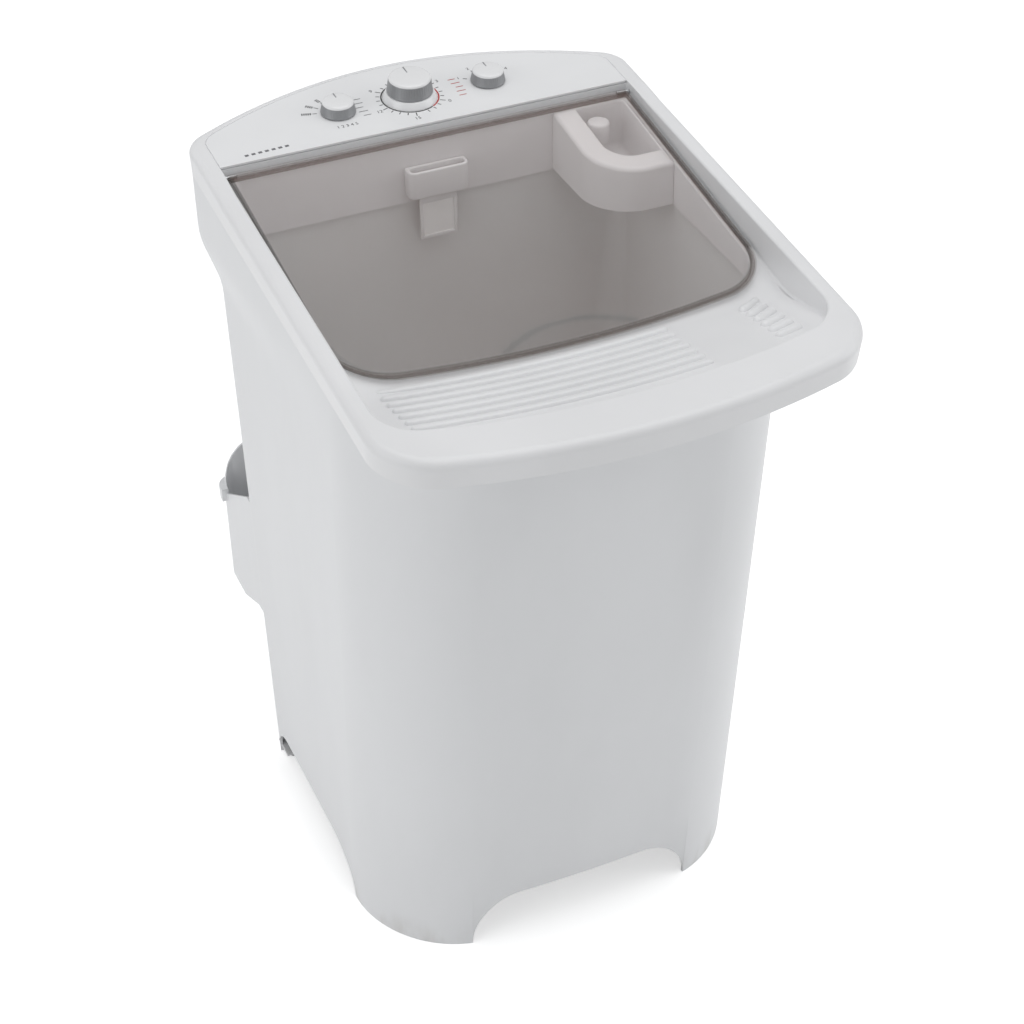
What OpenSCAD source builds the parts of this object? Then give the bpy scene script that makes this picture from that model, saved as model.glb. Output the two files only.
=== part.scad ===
// Semi-automatic washing machine: tapered one-piece cabinet, sloping top frame with a
// washboard, smoked lid, arched control console, tub with an agitator and a belt drive.
// Origin on the floor under the middle of the outer box, front towards -Y, +Z up.

/* [Cabinet] */
// Width of the cabinet at the floor
base_w = 492; // [470:1:505]
// Reach of the bowed front at the floor, in front of the origin
base_front = 206; // [195:1:220]
// Reach of the back wall at the floor, behind the origin
base_back = 238; // [230:1:245]
// Width of the cabinet under the console shoulder
neck_w = 507; // [495:1:512]
// Reach of the bowed front at the shoulder height
neck_front = 264; // [250:1:275]
// Reach of the back wall at the shoulder height
neck_back = 259; // [252:1:266]
// Height where the back starts to flare out to the console
shoulder_z = 727; // [700:1:745]
// Height of the sloping shoulder itself
shoulder_rise = 51; // [35:1:65]
// Radius of the two front corners
front_corner_r = 125; // [90:1:135]
// Radius of the two rear corners
rear_corner_r = 25; // [15:1:35]
// How far the front wall bows out
cabinet_bow = 15; // [8:1:22]
// Wall of the moulded cabinet
cabinet_wall = 3.5; // [2.5:0.5:4.5]

/* [Foot arches] */
// Height of the arch cut in the front
front_arch_h = 68; // [40:1:80]
// Half the width of the front arch
front_arch_half = 143; // [110:1:150]
// Height of the arches cut in the sides and the back
side_arch_h = 50; // [35:1:60]
// Front end of the side arches, in front of the origin
side_arch_front = 67; // [40:1:90]
// Rear end of the side arches, behind the origin
side_arch_back = 222; // [200:1:224]
// Half the width of the rear arch
rear_arch_half = 212; // [180:1:218]
// Radius of a round rubber foot pad
pad_r = 15; // [10:1:18]

/* [Top frame] */
// Overall width of the top frame
frame_w = 540; // [534:1:550]
// Reach of the bowed front of the frame, in front of the origin
frame_front = 378; // [360:1:390]
// How far the frame's front bows out beyond its corners
frame_bow = 43; // [25:1:50]
// Reach of the arched back of the console, behind the origin
console_back = 354; // [345:1:362]
// How far the console's back arches out beyond its corners
console_arch = 79; // [60:1:90]
// Radius of the frame's front corners
frame_front_r = 42; // [30:1:60]
// Height of the rim at the front edge of the control panel
panel_z = 887; // [880:1:900]
// Place of the front edge of the control panel, behind the origin
panel_y = 211; // [205:1:216]
// Slope of the rim, down towards the front, in degrees
rim_slope = 4.4; // [3:0.1:5.5]
// Height of the outer skirt
skirt_h = 32; // [26:1:38]
// Rounding of the rim's outer edge
rim_round = 9; // [5:1:11]
// Wall of the moulded frame
frame_wall = 3.2; // [2.6:0.2:3.8]
// Width of the rim on each side of the recess
side_rim = 20.5; // [18:0.5:24]
// Width of the flat strip in front of the washboard
front_strip = 57; // [45:1:65]
// Radius of the recess's front corners
recess_r = 36; // [25:1:45]

/* [Opening, washboard and soap rest] */
// Reach of the tub opening's front edge, in front of the origin
opening_front = 175; // [168:1:185]
// How far the opening's front edge bows out
opening_bow = 24; // [15:1:30]
// Ledge beside the opening that the lid rests on
side_ledge = 9.5; // [8:0.5:12]
// Clearance between the tub and the cabinet's neck
tub_clear = 3; // [2:0.5:5]
// Ledge between the opening and the control panel
rear_ledge = 8; // [7:0.5:12]
// Radius of the opening's front corners
opening_r = 55; // [30:1:65]
// Height of the bottom edge of the opening's skirt
skirt_end_z = 796; // [785:1:800]
// Height of the washboard where it meets the opening
wash_low_z = 814; // [811:1:818]
// Drop of the washboard below the rim at its front edge
wash_drop = 3; // [1:0.5:6]
// Number of washboard ribs
rib_count = 7; // [5:1:8]
// Distance from one washboard rib to the next
rib_pitch = 17; // [14:0.5:18]
// Height of a washboard rib
rib_h = 2.6; // [1.5:0.1:4]
// Width of a washboard rib at its foot
rib_w = 9; // [6:0.5:11]
// Left end of the ribs, left of the middle
rib_left = 218; // [180:1:222]
// Right end of the ribs, right of the middle
rib_right = 99; // [60:1:140]
// Number of short ribs in the soap rest
soap_count = 6; // [4:1:7]
// Place of the soap rest, right of the middle
soap_x = 199; // [180:1:210]
// Length of a short rib of the soap rest
soap_len = 34; // [20:1:40]

/* [Lid] */
// Slope of the lid, down towards the front, in degrees
lid_slope = 8.4; // [7.6:0.1:9]
// Drop of the lid's top below the front edge of the control panel
lid_drop = 6; // [4:0.5:8]
// Thickness of the lid's sheet
lid_t = 3; // [2:0.5:4]
// Depth of the turned-down edge of the lid
lid_edge = 8; // [7:0.5:10]
// Side gap between the lid and the recess
lid_gap = 4.5; // [3:0.5:6]
// How far the finger lip stands out in front of the turned-down edge
lid_lip = 9; // [5:1:12]
// Chord of the finger grip pressed into the lid
grip_chord = 165; // [120:1:190]
// Depth of the finger grip from front to back
grip_depth = 33; // [20:1:45]
// Radius of the hinge pins
pin_r = 2.5; // [2:0.1:3]
// Running clearance of pins and shafts in their bores
run_gap = 0.06; // [0.04:0.01:0.08]
// Gap left between pieces that seat on each other
seat_gap = 0.3; // [0.2:0.05:0.4]

/* [Control panel and knobs] */
// Thickness of the control panel
panel_t = 3; // [2:0.5:4]
// Distance of the knob axes behind the panel's front edge
knob_back = 60; // [50:1:68]
// Place of the left knob, left of the middle
knob_left_x = 88; // [75:1:110]
// Place of the right knob, right of the middle
knob_right_x = 98; // [80:1:115]
// Outer radius of the timer knob
timer_r = 27; // [22:1:30]
// Height of the timer knob
timer_h = 19; // [15:1:24]
// Outer radius of the raised dial ring under the timer knob
dial_r = 32; // [30:1:36]
// Height of the raised dial ring
dial_h = 8; // [5:1:10]
// Outer radius of the two selector knobs
selector_r = 20.5; // [17:0.5:23]
// Height of the selector knobs
selector_h = 15; // [12:1:18]
// Radius of the control shafts
control_shaft_r = 3; // [2.5:0.1:3.5]

/* [Tub] */
// Height of the tub's top edge
tub_top = 808; // [802:1:809]
// Height of the tub's underside
tub_bottom = 400; // [380:5:430]
// Wall of the tub
tub_wall = 3; // [2:0.5:4]
// Place of the agitator's axis, behind the origin
axis_y = 15; // [10:1:20]
// Radius of the drain hole in the tub's floor
drain_r = 17; // [14:1:20]

/* [Agitator and drive] */
// Outer radius of the agitator
agitator_r = 145; // [110:1:150]
// Height of the agitator's vanes above its dish
vane_h = 30; // [15:1:40]
// Number of agitator vanes
vane_count = 5; // [3:1:7]
// Radius of the agitator shaft
shaft_r = 7; // [6:0.5:8]
// Radius of the large pulley's groove floor
big_groove_r = 84; // [70:1:90]
// Radius of the motor pulley's groove floor
small_groove_r = 20; // [16:1:24]
// Clearance between the motor and the back wall, at half the wall's height
motor_clear = 10; // [6:0.5:20]
// Outer radius of the motor
motor_r = 60; // [50:1:62]
// Height of the motor's body
motor_h = 82; // [60:1:90]
// Width of the drive belt
belt_w = 10; // [8:1:12]
// Thickness of the drive belt
belt_t = 6; // [4:0.5:7]

/* [Rear fittings] */
// Width of the hose pocket on the back
pocket_w = 118; // [80:1:130]
// Reach of the hose pocket's rim, behind the origin
pocket_back = 378; // [350:1:385]
// Height of the pocket's side walls where they meet the cabinet
pocket_top = 406; // [395:1:420]
// Height of the pocket's side walls at their outer end
pocket_lip = 331; // [320:1:340]
// Height of the crest of the pocket's arched outer wall
pocket_crest = 411; // [395:1:425]
// Height of the underside of the pocket
pocket_bottom = 209; // [200:1:215]
// Wall of the pocket
pocket_wall = 3; // [2:0.5:4]
// Half the width of the service opening behind the motor
service_half = 105; // [80:1:115]
// Bottom of the service opening
service_low = 110; // [90:1:130]
// Top of the service opening
service_high = 372; // [340:1:390]
// Radius of the water inlet's thread
inlet_r = 13.1; // [10:0.1:14]
// Radius of the drain spigot
spigot_r = 12; // [10:0.5:14]
// Distance of the drain, its spigot and the cable gland inside the tub's side
spigot_in = 78.7; // [74:0.1:95]

/* [Hidden] */

$fn = 48;
eps = 0.01;
far = 900;

// Colours
white = [0.93, 0.93, 0.94];
panel_white = [0.96, 0.96, 0.97];
tub_grey = [0.86, 0.86, 0.86];
smoke = [0.45, 0.41, 0.38, 0.55];
silver = [0.48, 0.49, 0.51];
steel = [0.70, 0.71, 0.73];
dark = [0.16, 0.16, 0.17];
filter_grey = [0.78, 0.78, 0.77];

// Plan outlines: a rounded box whose front and back edges bow outwards
corner_steps = 6;
edge_steps = 10;
function arc_pts(cx, cy, r, a0, a1) =
    [for (i = [0:corner_steps])
        let (a = a0 + (a1 - a0) * i / corner_steps)
        [cx + r * cos(a), cy + r * sin(a)]];
function edge_pts(x0, x1, y) =
    [for (i = [1:edge_steps - 1]) [x0 + (x1 - x0) * i / edge_steps, y]];
function bowed(pts, half, bow) =
    [for (p = pts) [p[0], p[1] + bow * (1 - pow(p[0] / half, 2))]];
// hf, hb: half widths at the front and back; yf, yb: the corner lines; rf, rb: corner
// radii; bf, bb: how far the front and back edges bow out in the middle
function outline(hf, hb, yf, yb, rf, rb, bf, bb) = concat(
    bowed(concat(arc_pts(-hf + rf, yf + rf, rf, 180, 270),
        edge_pts(-hf + rf, hf - rf, yf),
        arc_pts(hf - rf, yf + rf, rf, 270, 360)), hf, -bf),
    bowed(concat(arc_pts(hb - rb, yb - rb, rb, 0, 90),
        edge_pts(hb - rb, -hb + rb, yb),
        arc_pts(-hb + rb, yb - rb, rb, 90, 180)), hb, bb));
// The outline o, given as a list of those eight sizes, drawn in by i on every side
function inset_points(o, i) =
    outline(o[0] - i, o[1] - i, o[2] + i, o[3] - i, max(o[4] - i, 1), max(o[5] - i, 1), o[6], o[7]);

// A solid skinned over outlines with equal numbers of points, given as [height, points]
module loft(levels) {
    n = len(levels[0][1]);
    last = len(levels) - 1;
    points = [for (l = levels) for (p = l[1]) [p[0], p[1], l[0]]];
    floor_face = [for (i = [0:n - 1]) i];
    roof_face = [for (i = [0:n - 1]) last * n + n - 1 - i];
    sides = [for (k = [0:last - 1]) for (i = [0:n - 1])
        let (j = (i + 1) % n, a = k * n + i, b = k * n + j)
        each [[a, a + n, b + n], [a, b + n, b]]];
    polyhedron(points, concat([floor_face, roof_face], sides), convexity = 8);
}

// A side profile in Y and Z, carried along X
module along_x(x0, x1) {
    translate([x0, 0, 0])
        rotate([90, 0, 90])
            linear_extrude(x1 - x0) children();
}

// A front profile in X and Z, carried along Y
module along_y(y0, y1) {
    translate([0, y1, 0])
        rotate([90, 0, 0])
            linear_extrude(y1 - y0) children();
}

// A ring with a bore, standing on z0
module tube(outer, inner, z0, z1) {
    translate([0, 0, z0]) difference() {
        cylinder(r = outer, h = z1 - z0);
        translate([0, 0, -1]) cylinder(r = inner, h = z1 - z0 + 2);
    }
}

// Places on the sloping rim: v runs back along the rim, w stands out of it
function rim_v(y) = (y - panel_y) / cos(rim_slope);
function rim_z(y) = panel_z + (y - panel_y) * tan(rim_slope);
module on_rim() {
    translate([0, panel_y, panel_z]) rotate([rim_slope, 0, 0]) children();
}

// Places on the lid's top face
lid_z0 = panel_z - lid_drop;
function lid_v(y) = (y - panel_y) / cos(lid_slope);
function lid_z(y) = lid_z0 + (y - panel_y) * tan(lid_slope);
module on_lid() {
    translate([0, panel_y, lid_z0]) rotate([lid_slope, 0, 0]) children();
}

// Cabinet outlines from the floor to the top, each as [height, outline]
shoulder_top = shoulder_z + shoulder_rise;
cabinet_top = panel_z + 30;
// The console's box is flush with the frame's drafted skirt and steps in to pass inside it
skirt_draft = 1.5;
console_corner_r = 21;
console_in = skirt_draft + frame_wall + seat_gap;
function box_half(inside) = frame_w / 2 - inside;
function box_line(inside) = console_back - console_arch - inside + skirt_h * sin(rim_slope);
console_half = box_half(skirt_draft);
console_line = box_line(skirt_draft);
function console_y(x) = console_line + console_arch * (1 - pow(x / console_half, 2));
top_half = neck_w / 2 + 1;
top_front = neck_front + 12;
function scaled_arch(half) = console_arch * pow(half / (frame_w / 2), 2);
function cabinet_levels(inside) = [
    [0, [base_w / 2, base_w / 2, -(base_front - cabinet_bow), base_back,
        front_corner_r, rear_corner_r, cabinet_bow, 0]],
    [shoulder_z, [neck_w / 2, neck_w / 2, -(neck_front - cabinet_bow), neck_back,
        front_corner_r, rear_corner_r, cabinet_bow, 0]],
    [shoulder_top, [neck_w / 2, box_half(inside), -(neck_front + 4 - cabinet_bow),
        box_line(inside), front_corner_r, console_corner_r, cabinet_bow, console_arch]],
    [cabinet_top, [top_half, box_half(inside), -(top_front - cabinet_bow),
        box_line(inside), front_corner_r, console_corner_r, cabinet_bow, console_arch]]];
module console_block(i, lift, inside) {
    levels = cabinet_levels(inside);
    loft([for (k = [0:len(levels) - 1])
        let (l = levels[k], up = k == 0 ? -lift : k == 3 ? lift : i > 0 ? i : 0)
        [l[0] + up, inset_points(l[1], i)]]);
}
// The cabinet's outside drawn in by i: the flush box ends under the frame's skirt
module cabinet_block(i, lift) {
    console_block(i, lift, console_in);
    intersection() {
        console_block(i, lift, skirt_draft);
        on_rim() translate([-far / 2, -far, -skirt_h - seat_gap - max(i, 0) - 2 * far])
            cube([far, 2 * far, 2 * far]);
    }
}

// The plane of the back wall below the shoulder
back_lean = atan((neck_back - base_back) / shoulder_z);
function back_y(z) = base_back + (neck_back - base_back) * z / shoulder_z;
module on_back() {
    translate([0, base_back, 0]) rotate([-back_lean, 0, 0]) children();
}

// An arch from x0 to x1 with elliptical shoulders e0 and e1 wide
arch_steps = 8;
function arch_line(x0, x1, h, e0, e1) = concat(
    [[x0, -1]],
    [for (i = [0:arch_steps])
        let (a = 180 - 90 * i / arch_steps) [x0 + e0 + e0 * cos(a), h * sin(a)]],
    [for (i = [0:arch_steps])
        let (a = 90 - 90 * i / arch_steps) [x1 - e1 + e1 * cos(a), h * sin(a)]],
    [[x1, -1]]);

// The recess floor: the ledge plane under the lid, and the washboard in front of it
ledge_drop = lid_edge + seat_gap;
function ledge_z(y) = lid_z(y) - ledge_drop;
recess_half = frame_w / 2 - side_rim;
recess_front = frame_front - front_strip;
// The opening leaves its ledge in the recess, and leaves the tub room in the cabinet's neck
tub_seat = 0.5;
neck_room = neck_w / 2 - cabinet_wall - tub_clear - tub_wall - tub_seat - frame_wall;
opening_half = min(recess_half - side_ledge, neck_room);
opening_back = panel_y - rear_ledge;
wash_back = opening_front + 4;
wash_front_z = rim_z(-recess_front) - wash_drop;
wash_slope = atan((wash_front_z - wash_low_z) / (recess_front - wash_back));
function wash_z(y) = wash_low_z + (-wash_back - y) * tan(wash_slope);
// Where the washboard plane meets the ledge plane
bend_y = -(wash_back - (wash_low_z - ledge_z(-wash_back)) / (tan(wash_slope) + tan(lid_slope)));
function floor_line(d) = [
    [-recess_front - frame_wall, wash_z(-recess_front - frame_wall) - d],
    [bend_y, wash_z(bend_y) - d],
    [panel_y + frame_wall, ledge_z(panel_y + frame_wall) - d]];
recess_plan = [recess_half, recess_half, -(recess_front - scaled_bow(recess_half)), panel_y,
    recess_r, 2, scaled_bow(recess_half), 0];
function scaled_bow(half) = frame_bow * pow(half / (frame_w / 2), 2);
opening_plan = [opening_half, opening_half, -(opening_front - opening_bow), opening_back,
    opening_r, 12, opening_bow, 0];
function points_of(o) = inset_points(o, 0);

// The frame's outer outline on the rim plane, drawn in by i
function frame_points(i) = outline(frame_w / 2 - i, frame_w / 2 - i,
    rim_v(-frame_front) + frame_bow + i, rim_v(console_back) - console_arch - i,
    frame_front_r - i, console_corner_r - i / 2, frame_bow, console_arch);

// Control shafts, as [name, x]
knob_xs = [-knob_left_x, 0, knob_right_x];
deck_t = frame_wall;
deck_w = -panel_t - seat_gap;

// Hinge axis of the lid
barrel_r = lid_edge / 2;
hinge_back = barrel_r + 3.5;
barrel_v = -hinge_back / cos(lid_slope);
hinge_y = panel_y + barrel_v * cos(lid_slope) + barrel_r * sin(lid_slope);
hinge_z = lid_z0 + barrel_v * sin(lid_slope) - barrel_r * cos(lid_slope);

module cabinet() {
    arch_ellipse = 62;
    side_ellipse = 80;
    // soles across the four foot corners
    color(white) intersection() {
        cabinet_block(cabinet_wall / 2, 0);
        union() for (p = pad_places)
            translate([p[0] - sole_half, p[1] - sole_half, sole_z])
                cube([2 * sole_half, 2 * sole_half, sole_t]);
    }
    color(white) difference() {
        cabinet_block(0, 0);
        cabinet_block(cabinet_wall, 1);
        above_cabinet();
        along_y(-far / 2, -base_front / 3)
            polygon(arch_line(-front_arch_half, front_arch_half, front_arch_h,
                arch_ellipse, arch_ellipse));
        along_y(base_back / 2, far / 2)
            polygon(arch_line(-rear_arch_half, rear_arch_half, side_arch_h,
                arch_ellipse, arch_ellipse));
        for (side = [-1, 1])
            along_x(side > 0 ? base_w / 3 : -far / 2, side > 0 ? far / 2 : -base_w / 3)
                polygon(arch_line(-side_arch_front, side_arch_back, side_arch_h,
                    side_ellipse, side_ellipse / 2));
        service_hole();
        on_back() {
            for (p = concat(cover_screw_places, pocket_screw_places))
                translate([p[0], 0, p[1]]) rotate([90, 0, 0])
                    cylinder(r = screw_hole_r, h = 40, center = true);
            translate([spigot_x, 0, gland_z]) rotate([90, 0, 0])
                cylinder(r = gland_r, h = 60, center = true);
        }
        translate([spigot_x, base_back, spigot_z]) rotate([90, 0, 0])
            cylinder(r = spigot_r + seat_gap, h = 60, center = true);
        translate([inlet_x, console_y(inlet_x), inlet_z]) rotate([90, 0, 0])
            cylinder(r = inlet_flange_r + seat_gap, h = 60, center = true);
    }
}

// Everything above the line where the cabinet stops under the frame
module above_cabinet() {
    d = frame_wall + seat_gap;
    line = floor_line(d);
    deck_z = panel_z - (rim_round + 2) / cos(rim_slope);
    along_x(-far / 2, far / 2)
        polygon([line[0] - [far, 0], line[0], line[1],
            [panel_y + frame_wall + seat_gap, line[2][1]],
            [panel_y + frame_wall + seat_gap, deck_z],
            [far / 2, deck_z + (far / 2 - panel_y) * tan(rim_slope)],
            [far / 2, 2 * far], [-far, 2 * far]]);
}

// Fixing holes through the tub's wall into the frame's skirt
tub_screw_z = skirt_end_z + 4.5;
tub_screw_ys = [-110, 10, 130];
tub_skin = opening_half + frame_wall + tub_seat;
module inlet_way() {
    translate([inlet_x, opening_back - 10, inlet_z]) rotate([-90, 0, 0])
        cylinder(r = inlet_pipe_r + seat_gap, h = 20);
}
module tub_screw_holes() {
    for (side = [-1, 1]) for (y = tub_screw_ys)
        translate([side * (opening_half + 1), y, tub_screw_z]) rotate([0, side * 90, 0])
            cylinder(r = screw_hole_r, h = 20);
}

// Water inlet: its place on the console's back and the pipe that leads to the cup
inlet_x = opening_half - 52;
inlet_z = 836;
inlet_pipe_r = 6;
inlet_flange_r = 18;

// Foot pads stand well inside the four corners, on soles across them
sole_z = 8;
sole_t = 4;
sole_half = pad_r + 12;
pad_reach = (front_corner_r - cabinet_wall - pad_r - 6) * sin(45);
pad_in = cabinet_wall + pad_r + 3;
pad_places = [for (sx = [-1, 1]) each [
    [sx * (base_w / 2 - front_corner_r + pad_reach),
        -(base_front - cabinet_bow - front_corner_r + pad_reach)],
    [sx * (base_w / 2 - pad_in), base_back - pad_in]]];
screw_hole_r = 2.2;
spigot_z = 84;
gland_z = 210;
gland_r = 9;
cover_margin = 14;
// The service opening stands clear of the hose pocket
pocket_left = -(base_w / 2 + 1.5);
pocket_right = pocket_left + pocket_w;
pocket_clear = 10.5;
service_x = pocket_right + pocket_clear + cover_margin + service_half;
service_mid = (service_low + service_high) / 2;
cover_screw_places = [for (sx = [-1, 1]) each [
    [service_x + sx * (service_half - 20), service_low - cover_margin / 2],
    [service_x + sx * (service_half + cover_margin / 2), service_mid],
    [service_x + sx * (service_half - 20), service_high + cover_margin / 2]]];
module service_hole() {
    on_back() translate([service_x - service_half, -20, service_low])
        cube([2 * service_half, 40, service_high - service_low]);
}

module foot_pads() {
    color(dark) for (p = pad_places) translate([p[0], p[1], 0]) union() {
        cylinder(r1 = pad_r - 1, r2 = pad_r, h = 1);
        translate([0, 0, 1]) cylinder(r = pad_r, h = sole_z - 1);
    }
}

module top_frame() {
    bevel = rim_round * (1 - cos(45));
    color(white) union() {
        difference() {
            union() {
                // the outer shell with its rounded edge and drafted skirt
                difference() {
                    on_rim() loft([[-skirt_h, frame_points(skirt_draft)], [-rim_round, frame_points(0)],
                        [-bevel, frame_points(bevel)], [0, frame_points(rim_round)]]);
                    on_rim() loft([[-skirt_h - 1, frame_points(skirt_draft + frame_wall)],
                        [-rim_round, frame_points(frame_wall)],
                        [-frame_wall, frame_points(rim_round)]]);
                }
                // the deck under the control panel
                on_rim() translate([0, 0, deck_w - deck_t]) linear_extrude(deck_t)
                    polygon(points_of([frame_w / 2 - frame_wall / 2, frame_w / 2 - frame_wall / 2,
                        -frame_wall, rim_v(console_back) - console_arch - frame_wall / 2,
                        2, console_corner_r, 0, console_arch]));
                // the recess walls and the recess floor
                intersection() {
                    translate([0, 0, skirt_end_z]) linear_extrude(far)
                        polygon(inset_points(recess_plan, -frame_wall));
                    along_x(-frame_w / 2, frame_w / 2)
                        polygon(concat(floor_line(frame_wall),
                            [[panel_y + frame_wall, rim_z(panel_y) - 1],
                             [-recess_front - frame_wall, rim_z(-recess_front - frame_wall) - 1]]));
                }
                // the skirt that hangs into the tub
                translate([0, 0, skirt_end_z]) linear_extrude(panel_z - skirt_end_z)
                    polygon(inset_points(opening_plan, -frame_wall));
                front_webs();
            }
            // the recess above its floor
            intersection() {
                translate([0, 0, skirt_end_z - 1]) linear_extrude(far)
                    polygon(points_of(recess_plan));
                along_x(-frame_w / 2, frame_w / 2)
                    polygon(concat(floor_line(0),
                        [[panel_y + frame_wall, far + 100], [-recess_front - frame_wall, far + 100]]));
            }
            // the way down into the tub
            translate([0, 0, skirt_end_z - 10]) linear_extrude(far)
                polygon(points_of(opening_plan));
            // the seat of the control panel
            on_rim() translate([0, 0, deck_w]) linear_extrude(20)
                polygon(panel_points(-seat_gap));
            on_rim() for (x = knob_xs) translate([x, knob_back, -20])
                cylinder(r = control_shaft_r + 3, h = 30);
            inlet_way();
            tub_screw_holes();
            // bores of the lid's hinge pins
            translate([0, hinge_y, hinge_z]) rotate([0, 90, 0])
                cylinder(r = pin_r + run_gap, h = frame_w - 20, center = true);
        }
        washboard_ribs();
        soap_rest();
    }
}

// Stiffening webs under the front overhang, seated on the washboard and the skirt
module front_webs() {
    web_t = 2.4;
    for (x = [-150, -75, 0, 75, 150])
        intersection() {
            translate([x - web_t / 2, -frame_front, skirt_end_z]) cube([web_t, 110, 100]);
            on_rim() loft([[-skirt_h + 1, frame_points(4)], [-frame_wall / 2, frame_points(4)]]);
            along_x(-frame_w / 2, frame_w / 2)
                polygon([[-far / 2, rim_z(-far / 2) - skirt_h], [-(neck_front + 14), skirt_end_z + 26],
                    [-(neck_front + 14), wash_z(-(neck_front + 14)) - 1],
                    [-frame_front, wash_z(-frame_front) - 1]]);
        }
}

module on_wash() {
    translate([0, -wash_back, wash_low_z]) rotate([-wash_slope, 0, 0]) children();
}
wash_len = (recess_front - wash_back) / cos(wash_slope);
// Radius of the bowed lines that the ribs follow
bow_r = (pow(frame_w / 2, 2) + pow(frame_bow, 2)) / (2 * frame_bow);

// Bowed ribs, each a stretch of a very large ring
module washboard_ribs() {
    crest = rib_w * 0.3;
    sink = 0.6;
    a_left = asin(rib_left / bow_r);
    a_right = asin(rib_right / bow_r);
    on_wash() for (i = [0:rib_count - 1]) {
        front = wash_len - rib_pitch * (i + 1) - rib_w / 2;
        translate([0, bow_r - front, 0])
            rotate_extrude(angle = a_left + a_right, start = 270 - a_left, $fn = 200)
                polygon([[bow_r - rib_w / 2, -sink], [bow_r + rib_w / 2, -sink],
                    [bow_r + rib_w / 2, 0], [bow_r + crest / 2, rib_h],
                    [bow_r - crest / 2, rib_h], [bow_r - rib_w / 2, 0]]);
    }
}

// Short oblique ribs that hold a bar of soap clear of the water
module soap_rest() {
    r = 4.8;
    first = 9;
    rear_turn = 32;
    front_turn = 16;
    on_wash() for (i = [0:soap_count - 1])
        translate([soap_x, -first - i * rib_pitch, 0])
            rotate([0, 0, rear_turn + (front_turn - rear_turn) * i / max(soap_count - 1, 1)]) intersection() {
            translate([0, 0, -r * 0.35]) {
                rotate([0, 90, 0]) cylinder(r = r, h = soap_len - 2 * r, center = true);
                for (s = [-1, 1]) translate([s * (soap_len / 2 - r), 0, 0]) sphere(r = r);
            }
            translate([-soap_len, -soap_len, -frame_wall / 2]) cube([2 * soap_len, 2 * soap_len, 2 * r]);
        }
}

panel_half = recess_half - 0.5;
function panel_points(i) = outline(panel_half - i, panel_half - i, i,
    rim_v(console_back) - rim_round - scaled_arch(panel_half) - i, 2, 14, 0, scaled_arch(panel_half));

module control_panel() {
    color(panel_white) difference() {
        on_rim() translate([0, 0, -panel_t]) linear_extrude(panel_t)
            polygon(panel_points(0));
        on_rim() for (x = knob_xs) translate([x, knob_back, -20])
            cylinder(r = control_shaft_r + 1.5, h = 40);
    }
}

module timer_dial_ring() {
    color(panel_white) on_rim() translate([0, knob_back, seat_gap]) difference() {
        cylinder(r1 = dial_r, r2 = dial_r - 4, h = dial_h);
        translate([0, 0, -1]) cylinder(r = control_shaft_r + 1.5, h = dial_h + 2);
    }
}

// A control's housing under the deck, with the bore for its shaft
module control_body(x, w, d, h) {
    top = deck_w - deck_t - seat_gap;
    on_rim() translate([x, knob_back, top - h]) difference() {
        union() {
            translate([-w / 2, -d / 2, 0]) cube([w, d, h]);
            translate([0, 0, h - 1]) cylinder(r = control_shaft_r + 2, h = deck_t);
        }
        translate([0, 0, h / 2]) cylinder(r = control_shaft_r + run_gap, h = h);
    }
}
module timer_body() {
    color(steel) control_body(0, 58, 58, 42);
}
module left_selector_body() {
    color(dark) control_body(-knob_left_x, 38, 34, 26);
}
module right_selector_body() {
    color(dark) control_body(knob_right_x, 38, 34, 26);
}

// Tub plans: k runs from 0 at the top edge to 1 where the walls turn in to the floor
tub_half = tub_skin + tub_wall;
spigot_x = tub_half - spigot_in;
tub_front = opening_front + frame_wall + tub_seat + tub_wall;
tub_back = opening_back + frame_wall + tub_seat + tub_wall;
tub_taper = 20;
tub_turn = 24;
tub_bend = tub_bottom + 28;
tub_straight = tub_top - 40;
tub_floor = tub_bottom + tub_wall;
function tub_plan(k) = [tub_half - tub_taper * k, tub_half - tub_taper * k,
    -(tub_front - opening_bow) + k * 5, tub_back - 12 * k,
    opening_r + 6 + 10 * k, 18 + 34 * k, opening_bow * (1 - 0.8 * k), 0];
module tub_block(i, lift) {
    low = i > 0 ? tub_wall : 0;
    loft([[tub_bottom + low, inset_points(tub_plan(1), tub_turn + i)],
        [tub_bottom + low + 6, inset_points(tub_plan(1), tub_turn / 3 + i)],
        [tub_bend + low, inset_points(tub_plan(1), i)],
        [(tub_bend + tub_straight) / 2, inset_points(tub_plan(0.5), i)],
        [tub_straight, inset_points(tub_plan(0), i)],
        [tub_top + lift, inset_points(tub_plan(0), i)]]);
}

// Where the drain hole lies in the tub's floor
drain_x = spigot_x;
drain_y = 118;
hub_pad_r = 70;
hub_pad_top = tub_floor + 5;
neck_r = 22;
housing_screw_ring = 50;
housing_screw_count = 6;
tub_rim_w = 2.5;
tub_rim_t = 4;

module tub() {
    color(tub_grey) difference() {
        union() {
            difference() {
                union() {
                    tub_block(0, 0);
                    translate([0, 0, tub_top - tub_rim_t]) linear_extrude(tub_rim_t)
                        polygon(inset_points(tub_plan(0), -tub_rim_w));
                }
                tub_block(tub_wall, 5);
            }
            translate([0, axis_y, tub_bottom]) cylinder(r = hub_pad_r, h = hub_pad_top - tub_bottom);
            translate([drain_x, drain_y, tub_bottom - 6]) cylinder(r = drain_r + 6, h = 7);
        }
        translate([0, axis_y, tub_bottom - 20]) {
            cylinder(r = neck_r + seat_gap, h = 60);
            for (i = [0:housing_screw_count - 1]) rotate([0, 0, i * 360 / housing_screw_count])
                translate([housing_screw_ring, 0, 0]) cylinder(r = screw_hole_r + 0.4, h = 60);
        }
        translate([drain_x, drain_y, tub_bottom - 20]) cylinder(r = drain_r, h = 60);
        tub_screw_holes();
    }
}

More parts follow.
